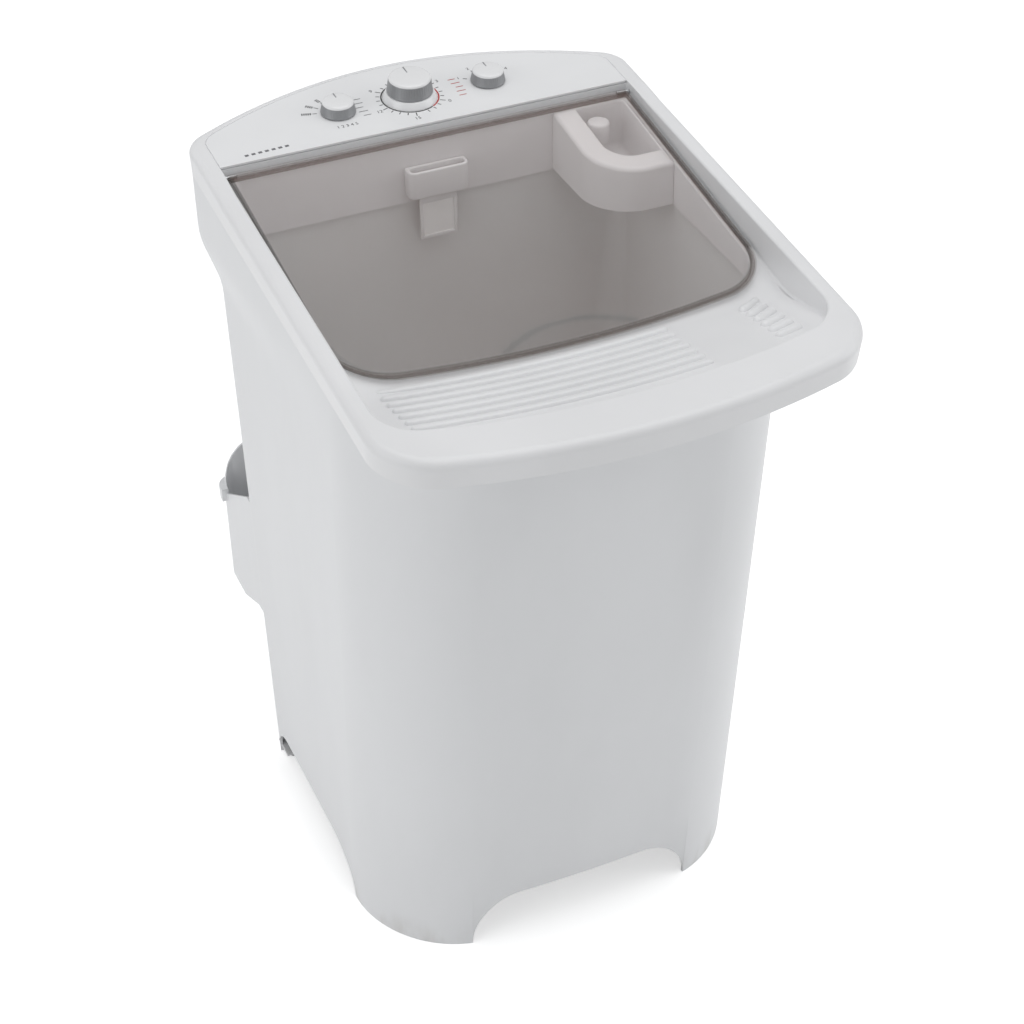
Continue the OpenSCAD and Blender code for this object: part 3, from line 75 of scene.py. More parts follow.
class Finish:
    """A material: its node tree, and its one surface shader."""

    def __init__(self, name, **fixed):
        self.material = bpy.data.materials.new(name)
        self.material.use_nodes = True
        self.tree = self.material.node_tree
        self.shader = self.tree.nodes["Principled BSDF"]
        self.place = self.node("TexCoord", out="Object")
        self.surface(**fixed)

    def join(self, socket, value):
        if isinstance(value, Tone):
            self.tree.links.new(value.socket, socket)
        else:
            socket.default_value = value

    def node(self, kind, settings={}, sockets={}, out=0):
        made = self.tree.nodes.new("ShaderNode" + kind)
        for name, value in settings.items():
            setattr(made, name, value)
        for name, value in sockets.items():
            self.join(made.inputs[name], value)
        return Tone(self, made.outputs[out])

    def noise(self, scale, detail=2.0, stretch=(1, 1, 1)):
        spread = self.node("Mapping", {}, {"Vector": self.place, "Scale": stretch})
        return self.node("TexNoise", {}, {"Vector": spread, "Scale": scale, "Detail": detail})

    def between(self, low, high, share):
        return self.node("Mix", {"data_type": "RGBA"}, {0: share, 6: low, 7: high}, out=2)

    def step(self, value, low, high):
        return self.node("MapRange", {"interpolation_type": "SMOOTHSTEP"},
                         {"Value": value, "From Min": low, "From Max": high})

    def surface(self, **sockets):
        for name, value in sockets.items():
            self.join(self.shader.inputs[name.replace("_", " ")], value)

    def bumps(self, height, strength, depth):
        self.surface(Normal=self.node("Bump", {}, {
            "Height": height, "Strength": strength, "Distance": depth}, out="Normal"))


def rgb(r, g, b):
    return (r, g, b, 1.0)


def moulded_plastic(name, colour, roughness, grain=0.05, dirt=0.0):
    """Injection moulded plastic: a fine grain, faint flow marks, and dust low down."""
    finish = Finish(name)
    cloud = finish.noise(7.0, 4.0, (1, 1, 0.4))
    grains = finish.noise(1500.0, 2.0)
    flow = finish.noise(38.0, 3.0, (1, 1, 0.25))
    deeper = rgb(*(c * 0.955 for c in colour))
    tone = finish.between(deeper, rgb(*colour), finish.step(cloud, 0.25, 0.72))
    if dirt:
        height = finish.node("SeparateXYZ", {}, {0: finish.place}, out="Z")
        low = 1.0 - finish.step(height, 0.0, 0.045)
        tone = finish.between(tone, rgb(0.5, 0.47, 0.43),
                              low * finish.step(flow, 0.42, 0.7) * dirt)
    finish.surface(Base_Color=tone, Roughness=cloud * 0.1 + flow * 0.06 + (roughness - 0.08))
    finish.bumps(grains * 0.6 + flow * 0.4, grain, 0.0004)
    return finish


def closed_loop(bm, places):
    """A ring of vertices joined by edges, the first outline of a shell."""
    ring = [bm.verts.new(p) for p in places]
    for a, b in zip(ring, ring[1:] + ring[:1]):
        bm.edges.new((a, b))
    return ring


def carry(bm, ring, places):
    """Extrudes the ring's edges and sets the new ring on its places."""
    edges = [bm.edges.get((a, b)) for a, b in zip(ring, ring[1:] + ring[:1])]
    made = bmesh.ops.extrude_edge_only(bm, edges=edges)["geom"]
    fresh = {v for v in made if isinstance(v, bmesh.types.BMVert)}
    onward = [next(e.other_vert(v) for e in v.link_edges if e.other_vert(v) in fresh)
              for v in ring]
    for v, p in zip(onward, places):
        v.co = p
    return onward


def agree(bm):
    """Makes a shell's faces all look the same way, outwards where it is closed."""
    bmesh.ops.recalc_face_normals(bm, faces=bm.faces)


def face_out(bm, middle):
    """Turns an open shell's faces away from the point in its middle."""
    agree(bm)
    away = sum((f.calc_center_median() - Vector(middle)).dot(f.normal) * f.calc_area()
               for f in bm.faces)
    if away < 0:
        bmesh.ops.reverse_faces(bm, faces=bm.faces)


def added(name, data):
    """A new object of the scene, with its mesh, text, lamp or camera."""
    made = bpy.data.objects.new(name, data)
    bpy.context.scene.collection.objects.link(made)
    return made


def settle(bm, name, finish, slot, body="cabinet", stands_for=(), sharp=38, scale=0.001):
    """Brings a finished mesh to metres and mounts it on its body."""
    bmesh.ops.scale(bm, vec=(scale,) * 3, verts=bm.verts)
    mesh = bpy.data.meshes.new(name)
    bm.to_mesh(mesh)
    bm.free()
    mesh.polygons.foreach_set("use_smooth", [True] * len(mesh.polygons))
    mesh.set_sharp_from_angle(angle=radians(sharp))
    mesh.materials.append(finish.material)
    piece = added(name, mesh)
    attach(piece, body)
    if stands_for:
        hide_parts(*stands_for)
    return piece


def thicken(piece, wall):
    wall_of = piece.modifiers.new("wall", "SOLIDIFY")
    wall_of.thickness = wall * 0.001
    wall_of.offset = -1


def soften(piece, width, segments=2, angle=38):
    edge = piece.modifiers.new("edges", "BEVEL")
    edge.limit_method = "ANGLE"
    edge.angle_limit = radians(angle)
    edge.width = width * 0.001
    edge.segments = segments
    edge.profile = 0.5
    even = piece.modifiers.new("even", "WEIGHTED_NORMAL")
    even.keep_sharp = True


def lerp(a, b, t):
    return a + (b - a) * t


class Plan:
    """A plan outline: a rounded box whose front and back edges bow outwards. Its ten parts
    run from the front left corner round to the left side, each with t from 0 to 1."""

    def __init__(self, front_half, rear_half, front, rear, front_r, rear_r, front_bow,
                 rear_bow, turn):
        self.sizes = (front_half, rear_half, front, rear, front_r, rear_r, front_bow, rear_bow)
        self.turn = turn

    def spot(self, part, t, out=0.0):
        hf, hb, yf, yb, rf, rb, bf, bb = self.sizes
        hf, hb, yf, yb = hf + out, hb + out, yf - out, yb + out
        rf, rb = max(rf + out, 0.4), max(rb + out, 0.4)
        if part in (0, 2):
            a = radians((180 if part == 0 else 270) + 90 * t)
            x = (hf - rf) * (-1 if part == 0 else 1) + rf * cos(a)
            y = yf + rf + rf * sin(a)
        elif part == 1:
            x, y = lerp(-hf + rf, hf - rf, t), yf
        elif part in (5, 7):
            a = radians((0 if part == 5 else 90) + 90 * t)
            x = (hb - rb) * (1 if part == 5 else -1) + rb * cos(a)
            y = yb - rb + rb * sin(a)
        elif part == 6:
            x, y = lerp(hb - rb, -hb + rb, t), yb
        else:
            y0, y1 = yf + rf, yb - rb
            y = {3: lerp(y0, self.turn, t), 4: lerp(self.turn, y1, t),
                 8: lerp(y1, self.turn, t), 9: lerp(self.turn, y0, t)}[part]
            x = lerp(hf, hb, (y - y0) / (y1 - y0)) * (1 if part < 5 else -1)
        if part < 3:
            y -= bf * (1 - (x / hf) ** 2)
        elif 4 < part < 8:
            y += bb * (1 - (x / hb) ** 2)
        return x, y


def stations(counts):
    return [(part, k / n) for part, n in enumerate(counts) for k in range(n)]


# Sizes that the shell and the top frame share
frame_half, frame_front, frame_bow = 270, 378, 43
console_back, console_half, console_arch = 354, 261, 79
rim_tilt = radians(4.4)
panel_line, panel_height = 211, 887


def rim_z(y):
    return panel_height + (y - panel_line) * tan(rim_tilt)


def on_rim(x, v, w):
    """A place on the sloping rim: v runs back along it, w stands out of it."""
    return (x, panel_line + v * cos(rim_tilt) - w * sin(rim_tilt),
            panel_height + v * sin(rim_tilt) + w * cos(rim_tilt))


def along_rim(y):
    """How far back along the sloping rim a place at y lies."""
    return (y - panel_line) / cos(rim_tilt)


side_turn = 190
front_arch_h, front_arch_half, side_arch_h = 68, 143, 50
side_arch_front, side_arch_back, rear_arch_half = -67, 222, 212
arch_shoulder, side_shoulder, side_back_shoulder = 62, 80, 40
shell_top, shell_wall = 917, 3.5
shell_r, shell_rear_r, console_r, shell_bow = 125, 25, 19, 15
console_box = frame_half - 1.5
cabinet_levels = [
    (0, (246, 246, -191, 238, shell_r, shell_rear_r, shell_bow, 0)),
    (727, (253.5, 253.5, -249, 259, shell_r, shell_rear_r, shell_bow, 0)),
    (778, (253.5, console_box, -253, 275.9, shell_r, console_r, shell_bow, console_arch)),
    (shell_top, (254.5, console_box, -261, 275.9, shell_r, console_r, shell_bow, console_arch))]


def cabinet_plan(z, drawn_in=0.0):
    """The shell's plan at a height, averaged over a little height for soft shoulders."""
    total = [0.0] * 8
    for shift in (-12, -6, 0, 6, 12):
        at = min(max(z + shift, 0), shell_top) if 30 < z else z
        for (z0, p0), (z1, p1) in zip(cabinet_levels, cabinet_levels[1:]):
            if z0 <= at <= z1:
                share = (at - z0) / (z1 - z0)
                total = [s + lerp(a, b, share) / 5 for s, a, b in zip(total, p0, p1)]
                break
    hf, hb, yf, yb, rf, rb, bf, bb = total
    return Plan(hf - 0.04 * drawn_in, hb - drawn_in, yf + 0.04 * drawn_in, yb - drawn_in, rf, rb,
                bf, bb, side_turn)


def arch(u, u0, u1, h, e0, e1):
    """Height of an arch with elliptical shoulders e0 and e1 wide, over the place u."""
    if not u0 < u < u1:
        return 0.0
    s = max((u0 + e0 - u) / e0, (u - u1 + e1) / e1, 0.0)
    return h * sqrt(max(1 - s * s, 0.0))


foot_plan = cabinet_plan(0)


def foot_z(part, t):
    x, y = foot_plan.spot(part, t)
    if y < side_arch_front - 1:
        return arch(x, -front_arch_half, front_arch_half, front_arch_h, arch_shoulder, arch_shoulder)
    if part in (5, 6, 7) and y > side_arch_back + 8:
        return arch(x, -rear_arch_half, rear_arch_half, side_arch_h, arch_shoulder, arch_shoulder)
    return arch(y, side_arch_front, side_arch_back, side_arch_h, side_shoulder, side_back_shoulder)


arch_stations = set()


def mark_foot(goal, part, axis):
    """Notes the station on a part of the foot where x or y has that value, found by halving."""
    low, high = 0.0, 1.0
    rising = foot_plan.spot(part, 1)[axis] > foot_plan.spot(part, 0)[axis]
    for _ in range(40):
        mid = (low + high) / 2
        if (foot_plan.spot(part, mid)[axis] < goal) == rising:
            low = mid
        else:
            high = mid
    if 1e-6 < low < 1 - 1e-6:
        arch_stations.add((part, (low + high) / 2))


for k in range(13):
    rise = 1 - cos(radians(90 * k / 12))
    for side in (-1, 1):
        for part in (0, 1, 2):
            mark_foot(side * (front_arch_half - arch_shoulder * rise), part, 0)
        mark_foot(side * (rear_arch_half - arch_shoulder * rise), 6, 0)
    for part in (2, 3, 4, 5, 7, 8, 9, 0):
        mark_foot(side_arch_front + side_shoulder * rise, part, 1)
        mark_foot(side_arch_back - side_back_shoulder * rise, part, 1)
service_half, service_low, service_high = 105, 110, 372
for side in (-1, 1):
    mark_foot(side * service_half, 6, 0)
plain_stations = [s for s in stations((20, 30, 20, 24, 3, 8, 36, 8, 3, 24))
                  if s[1] == 0 or all(s[0] != a[0] or abs(s[1] - a[1]) > 0.013
                                      for a in arch_stations)]
around_cabinet = sorted({(p, round(t, 5)) for p, t in arch_stations} | set(plain_stations))

recess_front, board_back, board_low, board_drop = 321, 179, 814, 3
board_tilt = atan((rim_z(-recess_front) - board_drop - board_low) / (recess_front - board_back))
lid_height, lid_tilt = 881, radians(8.4)
ledge_under_lid, floor_soft, skirt_h = 8.3, 5.0, 32


def floor_z(y):
    """Height of the recess floor: the washboard's plane, then the ledge's under the lid."""
    board = board_low + (-board_back - y) * tan(board_tilt)
    ledge = lid_height + (y - panel_line) * tan(lid_tilt) - ledge_under_lid
    blend = max(floor_soft - abs(board - ledge), 0.0) / floor_soft
    return max(board, ledge) + blend * blend * floor_soft / 4


bm = bmesh.new()
ring = closed_loop(bm, [foot_plan.spot(p, t) + (foot_z(p, t),) for p, t in around_cabinet])
for z in (80, service_low, 160, 220, 290, service_high, 440, 510, 580, 640, 690, 712, 720, 727, 734,
          742, 755, 765, 772, 778, 785, 794, 806):
    plan = cabinet_plan(z)
    ring = carry(bm, ring, [plan.spot(p, t) + (z,) for p, t in around_cabinet])
for drawn_in, lift in ((0, 0), (5, 0), (5, 1)):
    plan = cabinet_plan(850, drawn_in)
    places = []
    for p, t in around_cabinet:
        x, y = plan.spot(p, t)
        under = floor_z(y) - 3.8 if y < panel_line else rim_z(y) - 8
        step = min(rim_z(y) - skirt_h - 0.4, under - 1)
        places.append((x, y, under if lift else step))
    ring = carry(bm, ring, places)
window = [f for f in bm.faces if abs(f.calc_center_median().x) < service_half
          and service_low < f.calc_center_median().z < service_high
          and f.calc_center_median().y > 200]
bmesh.ops.delete(bm, geom=window, context="FACES")
face_out(bm, (0, 0, 400))
white_shell = moulded_plastic("white_shell", (0.80, 0.805, 0.815), 0.42, dirt=0.35)
cabinet = settle(bm, "cabinet_shell", white_shell, "body_white", stands_for=("cabinet",), sharp=50)
thicken(cabinet, shell_wall)
soften(cabinet, 0.8, angle=50)

# Soles and foot pads: a flat sole bridges each corner of the foot, and a round black rubber
# pad is pressed on under it. The machine stands on the four pads and on the shell's feet.


def block(bm, low, high, bevel):
    """A box between two corners, with its edges rounded."""
    low, high = Vector(low), Vector(high)
    place = Matrix.Translation((low + high) / 2) @ Matrix.Diagonal((*(high - low), 1))
    made = bmesh.ops.create_cube(bm, size=1.0, matrix=place)["verts"]
    edges = list({e for v in made for e in v.link_edges})
    bmesh.ops.bevel(bm, geom=edges, offset=bevel, affect="EDGES", segments=2, profile=0.5, material=-1)


pad_box, pad_r, sole_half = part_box("foot_pads"), 15, 18
sole_low, sole_high = 8, 12
bm = bmesh.new()
for side in (-1, 1):
    for y, x in ((pad_box[1][1] * 1000 - pad_r, 224.5), (pad_box[0][1] * 1000 + pad_r, 193)):
        block(bm, (side * x - sole_half, y - sole_half, sole_low),
              (side * x + sole_half, y + sole_half, sole_high), 1.0)
settle(bm, "foot_soles", white_shell, "body_white")


def dressed(node, finish, slot, body="cabinet", edge=0.4, sharp=32, segments=2):
    """A copy of a CAD node with merged points, rounded edges and smooth curved faces."""
    bm = bmesh.new()
    bm.from_mesh(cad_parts[node].data)
    bmesh.ops.remove_doubles(bm, verts=bm.verts, dist=2e-6)
    bmesh.ops.dissolve_limit(bm, angle_limit=radians(0.6), verts=bm.verts, edges=bm.edges,
                             use_dissolve_boundaries=False)
    piece = settle(bm, node + "_piece", finish, slot, body, (node,), sharp, scale=1.0)
    soften(piece, edge, segments, sharp)


rubber = Finish("foot_rubber")
rubber_dust = rubber.noise(60.0, 4.0)
rubber.surface(Base_Color=rubber.between(rgb(0.012, 0.012, 0.013), rgb(0.05, 0.048, 0.046), rubber_dust),
               Roughness=rubber_dust * 0.2 + 0.7)
rubber.bumps(rubber.noise(900.0, 3.0), 0.3, 0.0003)
dressed("foot_pads", rubber, "black_rubber", edge=0.8)

# Top frame: one white moulding that snaps over the cabinet. Its rim slopes to the front, with
# a sunk recess for the lid, a bowed washboard, a soap rest, and a skirt that hangs in the tub.
frame_wall, frame_r, frame_rear_r = 3.0, 54, 21
recess_half, recess_r, panel_seat_half, panel_seat_r = 249.5, 36, 249, 14
opening_half, opening_front, opening_back, opening_bow, opening_r = 240, -151, 203, 24, 55
frame_outer = Plan(frame_half, frame_half, along_rim(-frame_front) + frame_bow,
                   along_rim(console_back) - console_arch, frame_r, frame_rear_r, frame_bow, console_arch,
                   along_rim(side_turn))
recess_bow = frame_bow * (recess_half / frame_half) ** 2
panel_arch = console_arch * (panel_seat_half / console_half) ** 2
panel_rear = panel_line + (along_rim(console_back) - 9 - panel_arch) * cos(rim_tilt)
mouth = Plan(recess_half, panel_seat_half, -recess_front + recess_bow, panel_rear, recess_r, panel_seat_r,
             recess_bow, panel_arch, side_turn)
recess = Plan(recess_half, recess_half, -recess_front + recess_bow, panel_line, recess_r, 2,
              recess_bow, 0, side_turn)
opening = Plan(opening_half, opening_half, opening_front, opening_back, opening_r, 12,
               opening_bow, 0, side_turn)
around_frame = stations((18, 144, 22, 34, 5, 8, 48, 8, 5, 34))
behind_turn = (4, 5, 6, 7, 8)


def smooth(value, low, high):
    s = min(max((value - low) / (high - low), 0.0), 1.0)
    return s * s * (3 - 2 * s)


def quarter(steps, first=0):
    """A quarter turn's steps, each as how far it has gone up and how far across."""
    turns = [pi / 2 * k / steps for k in range(first, steps + 1)]
    return [(sin(a), 1 - cos(a)) for a in turns]


front_round, panel_round = 9.2, 7.2


def rim_ring(inset, w, rounds_in=0.0, rounds_down=0.0):
    """A ring of the rim's outer edge, whose rounding is tighter beside the control panel."""
    for p, t in around_frame:
        r = lerp(front_round, panel_round, smooth(frame_outer.spot(p, t)[1], -60, -20))
        x, v = frame_outer.spot(p, t, -inset - r * rounds_in)
        yield on_rim(x, v, w - r * rounds_down)


bm = bmesh.new()
ring = closed_loop(bm, rim_ring(1.5, -skirt_h))
ring = carry(bm, ring, rim_ring(1.4, 1.5 - skirt_h))
ring = carry(bm, ring, rim_ring(0.1, -10))
for up, across in quarter(6):
    ring = carry(bm, ring, rim_ring(0, 0, across, 1 - up))
ring = carry(bm, ring, rim_ring(0.3, 0, 1))


def fillet_at(y):
    """Radius of the recess's roundings, which shrink where the recess is shallow."""
    return min(3.0, 0.42 * (rim_z(y) - floor_z(y)))


panel_lip = 0.7


def lip_of(part, t):
    """Radius of the rim's inner edge, nearly sharp where the control panel sits."""
    x, y = mouth.spot(part, t)
    if part in behind_turn:
        return panel_lip
    return lerp(panel_lip, fillet_at(y), 1 - smooth(y, side_turn - 40, side_turn))


def mouth_ring(share, sunk):
    for p, t in around_frame:
        lip = lip_of(p, t)
        x, y = mouth.spot(p, t, lip * share)
        yield x, y, rim_z(y) - lip * sunk


ring = carry(bm, ring, mouth_ring(1.3, 0))
for up, across in quarter(4):
    ring = carry(bm, ring, mouth_ring(1 - up, across))


def wall_ring(share, rear_plan, rear_drop):
    """A ring on the recess wall; behind the turn it makes the seat of the control panel."""
    for p, t in around_frame:
        if p in behind_turn:
            x, y = rear_plan.spot(p, t)
            yield x, y, rim_z(y) - rear_drop
        else:
            x, y = recess.spot(p, t)
            lip, deep = lip_of(p, t), rim_z(y) - floor_z(y)
            yield x, y, rim_z(y) - lip - (deep - lip - fillet_at(y)) * share


ring = carry(bm, ring, wall_ring(0.2, mouth, 3.3))
ring = carry(bm, ring, wall_ring(0.5, recess, 4.0))
ring = carry(bm, ring, wall_ring(1.0, recess, rim_z(panel_line) - floor_z(panel_line) - 3))
for up, across in quarter(3, 1):
    places = []
    for p, t in around_frame:
        fillet = fillet_at(recess.spot(p, t)[1])
        x, y = recess.spot(p, t, -fillet * across)
        places.append((x, y, floor_z(y) + fillet * (1 - up)))
    ring = carry(bm, ring, places)
mouth_r, floor_rings = 2.5, 48
for k in range(1, floor_rings + 1):
    places = []
    for p, t in around_frame:
        x0, y0 = recess.spot(p, t, -fillet_at(recess.spot(p, t)[1]))
        x1, y1 = opening.spot(p, t, mouth_r)
        x, y = lerp(x0, x1, k / floor_rings), lerp(y0, y1, k / floor_rings)
        places.append((x, y, floor_z(y)))
    ring = carry(bm, ring, places)
for up, across in quarter(4, 1):
    places = []
    for p, t in around_frame:
        x, y = opening.spot(p, t, mouth_r * (1 - up))
        places.append((x, y, floor_z(opening.spot(p, t, mouth_r)[1]) - mouth_r * across))
    ring = carry(bm, ring, places)
for z in (805, 796):
    ring = carry(bm, ring, [opening.spot(p, t) + (z,) for p, t in around_frame])
face_out(bm, (0, 0, 500))
outermost = max(bm.faces, key=lambda f: f.calc_center_median().x)
if outermost.normal.x < 0:
    bmesh.ops.reverse_faces(bm, faces=bm.faces)
white_frame = moulded_plastic("white_frame", (0.82, 0.82, 0.828), 0.38)
top_frame = settle(bm, "top_frame_moulding", white_frame, "body_white", stands_for=("top_frame",),
                   sharp=60)
thicken(top_frame, frame_wall)
soften(top_frame, 0.6, angle=60)

# Washboard and soap rest: seven bowed ribs and six short slanted ones, moulded with the top
# frame in the same white plastic. Each is a bar with rounded ends, sunk a little in the floor.


def on_board(x, front, w):
    """A place on the washboard: front runs up its slope from the opening, w stands out of it."""
    return (x, -board_back - front * cos(board_tilt) + w * sin(board_tilt),
            board_low + front * sin(board_tilt) + w * cos(board_tilt))


rib_count, rib_pitch, rib_left, rib_right, rib_taper = 7, 17, -218, 99, 5
half_rib = [(5.4, -0.6), (5.1, 0.1), (4.8, 1.1), (4.4, 2.2), (3.8, 3.1), (2.9, 3.7), (1.5, 4.0)]
rib_profile = [(-across, rise) for across, rise in half_rib] + [(0, 4.1)] + half_rib[::-1] + [(0, -1.5)]
rib_arc = (frame_half ** 2 + frame_bow ** 2) / (2 * frame_bow)
board_len = (recess_front - board_back) / cos(board_tilt)
rib_start, rib_end = asin(rib_left / rib_arc), asin(rib_right / rib_arc)
from_ends = [0.3, 0.9, 1.8, 3.2, rib_taper]
turns = [rib_start + d / rib_arc for d in from_ends]
turns += [lerp(turns[-1], rib_end - rib_taper / rib_arc, k / 60) for k in range(1, 60)]
turns += [rib_end - d / rib_arc for d in reversed(from_ends)]
bm = bmesh.new()
for i in range(rib_count):
    reach = board_len - rib_pitch * (i + 1) - 4.5
    ring = None
    for turn in turns:
        near = min(turn - rib_start, rib_end - turn) * rib_arc
        full = sqrt(1 - (1 - min(near / rib_taper, 1)) ** 2)
        places = [on_board((rib_arc + across * full) * sin(turn),
                           reach - rib_arc + (rib_arc + across * full) * cos(turn), rise * full)
                  for across, rise in rib_profile]
        if ring:
            ring = carry(bm, ring, places)
        else:
            ring = closed_loop(bm, places)
            bm.faces.new(ring)
    bm.faces.new(ring)
agree(bm)
settle(bm, "washboard_ribs", white_frame, "body_white", sharp=60)
soap_x, soap_count, soap_r, soap_half, soap_sunk = 199, 6, 5.6, 12.2, 1.2
bm = bmesh.new()
for i in range(soap_count):
    made = bmesh.ops.create_uvsphere(bm, u_segments=28, v_segments=15, radius=soap_r)["verts"]
    turn = Matrix.Rotation(radians(32 - 3.2 * i), 3, "Z") @ Matrix.Rotation(pi / 2, 3, "Y")
    for v in made:
        v.co.z += soap_half if v.co.z > 0 else -soap_half
        x, y, w = turn @ v.co
        v.co = on_board(soap_x + x, 9 + rib_pitch * i - y, w - soap_sunk)
settle(bm, "soap_rest_ribs", white_frame, "body_white")

# Control panel: a glossy white fascia let into the rim, flush with it, held by clips. The
# scales round the knobs are printed on it in black, grey and red ink.
panel_half, panel_edge, panel_under = 248.8, 0.8, 2.9
panel_plan = Plan(panel_half, panel_half, 0.4, along_rim(console_back) - 9.3 - panel_arch, 1.5, 13.5, 0,
                  panel_arch, 20)
around_panel = stations((5, 30, 5, 6, 6, 10, 60, 10, 6, 6))
bm = bmesh.new()
ring = closed_loop(bm, [on_rim(*panel_plan.spot(p, t), -panel_under) for p, t in around_panel])
bm.faces.new(ring[::-1])
for up, across in quarter(3):
    ring = carry(bm, ring, [on_rim(*panel_plan.spot(p, t, -panel_edge * across), panel_edge * (up - 1))
                            for p, t in around_panel])
bm.faces.new(ring)
agree(bm)
white_fascia = moulded_plastic("white_fascia", (0.86, 0.862, 0.87), 0.22, grain=0.02)
white_fascia.surface(Coat_Weight=0.25)
fascia = settle(bm, "fascia", white_fascia, "panel_white", stands_for=("control_panel",))
soften(fascia, 0.01, 1, 80)

knob_row, ink_lift = 60, 0.06
left_x, timer_x, right_x = -88, 0, 98
selector_r, selector_h, timer_r, timer_h = 20.5, 15, 27, 19
dial_r, dial_h = 32, 8.3


def printed(name, ink, marks):
    """Flat printed marks on the fascia: each mark adds its faces to one mesh."""
    bm = bmesh.new()
    for mark in marks:
        mark(bm)
    for v in bm.verts:
        v.co = on_rim(v.co.x, v.co.y, ink_lift)
    settle(bm, name, ink, "panel_white")


def bar(x, v, length, width, angle=0.0):
    """A printed bar; its length runs along the angle."""
    def draw(bm):
        place = Matrix.Translation((x, v, 0)) @ Matrix.Rotation(radians(angle), 4, "Z")
        bmesh.ops.create_grid(bm, x_segments=1, y_segments=1, size=0.5,
                              matrix=place @ Matrix.Diagonal((length, width, 1, 1)))
    return draw


def about(knob_x, r, angle):
    """A place r from a knob's middle, at an angle in degrees."""
    turn = radians(angle)
    return knob_x + r * cos(turn), knob_row + r * sin(turn)


def tick(knob_x, r, angle, length, width):
    """A bar that points at a knob's middle."""
    return bar(*about(knob_x, r, angle), length, width, angle)


def ring_band(start, end):
    """A printed band round the timer's dial, from one angle to another."""
    def draw(bm):
        line = [bm.verts.new(about(timer_x, dial_r + out, start) + (0,)) for out in (0.6, 2.3)]
        edge = bm.edges.new(line)
        bmesh.ops.spin(bm, geom=line + [edge], cent=(timer_x, knob_row, 0), axis=(0, 0, 1),
                       angle=radians(end - start), steps=(end - start) // 4)
    return draw


def number(words, x, v, height):
    """Printed plain numbers, centred on a place."""
    def draw(bm):
        letters = bpy.data.curves.new("number", "FONT")
        letters.body = words
        letters.size = height * 1.38
        letters.align_x = "CENTER"
        letters.align_y = "CENTER"
        letters.resolution_u = 4
        holder = added("number", letters)
        flat = bpy.data.meshes.new_from_object(holder)
        flat.transform(Matrix.Translation((x, v, 0)))
        bm.from_mesh(flat)
        bpy.data.objects.remove(holder)
        bpy.data.curves.remove(letters)
        bpy.data.meshes.remove(flat)
    return draw


def ink_of(name, colour):
    """Screen ink, worn thin in small spots."""
    ink = Finish(name)
    wear = ink.noise(700.0, 3.0)
    ink.surface(Base_Color=ink.between(rgb(*colour), rgb(*(min(c * 1.5 + 0.03, 1) for c in colour)),
                                       ink.step(wear, 0.55, 0.75)),
                Roughness=wear * 0.1 + 0.3)
    return ink


grey_ink = ink_of("grey_ink", (0.17, 0.17, 0.18))
black_ink = ink_of("black_ink", (0.02, 0.02, 0.022))
red_ink = ink_of("red_ink", (0.45, 0.03, 0.025))
marks = []
for k in range(5):
    a = 166 - 26 * k
    marks.append(tick(left_x, 27, a, 5.0, 1.2))
    marks += [tick(left_x, 32 + 2.4 * stripe, a, 1.3, 4.4) for stripe in range(5 - k)]
marks.append(number("1 2 3 4 5", left_x, knob_row - 31, 5.2))
printed("left_scale", black_ink, marks)
printed("level_row", grey_ink, [bar(-214 + 8 * k, 12 + 0.4 * k, 4.6, 3.8, 6) for k in range(7)])
marks = []
for k in range(24):
    a = 260 - 14.6 * k
    long = k % 4 == 0
    marks.append(tick(timer_x, 37.5 + long, a, 4.4 + 2.2 * long, 1.2))
    if long:
        marks.append(number(str(15 - 3 * (k // 4)), *about(timer_x, 47, a), 5.6))
printed("timer_scale", black_ink, marks)


def column(side):
    """Five short bars in a bowed column beside the timer."""
    return [bar(timer_x + side * (62 - abs(row - 2) * 1.5), knob_row + 18 - 9 * row, 9 + 2 * (row % 2), 1.3)
            for row in range(5)]


printed("timer_steps", red_ink, column(1))
printed("timer_levels", grey_ink, column(-1))
marks = []
for k in range(4):
    a = 150 - 40 * k
    marks.append(tick(right_x, 27, a, 5.0, 1.2))
    marks.append(number(str(k + 1), *about(right_x, 35, a), 5.2))
printed("right_scale", black_ink, marks)
printed("timer_black_band", black_ink, [ring_band(100, 300)])
printed("timer_red_band", red_ink, [ring_band(-58, 98)])

# Knobs: grey plastic grips with fine flutes and a bright pale cap set in the top, pushed on
# their shafts. The timer's knob stands on a raised white dial ring.


def turned(bm, profile, at, steps=96, flutes=0, depth=0.0, fluted=()):
    """Rings of a profile of (radius, height) about a knob's axis, closed at the top."""
    x, v = at

    def places(index, r, h):
        for k in range(steps):
            a = 2 * pi * k / steps
            cut = depth * (0.5 - 0.5 * cos(flutes * a)) if index in fluted else 0.0
            yield on_rim(x + (r - cut) * cos(a), v + (r - cut) * sin(a), h)

    ring = closed_loop(bm, places(0, *profile[0]))
    for index, (r, h) in enumerate(profile[1:], 1):
        ring = carry(bm, ring, places(index, r, h))
    bm.faces.new(ring)
    agree(bm)


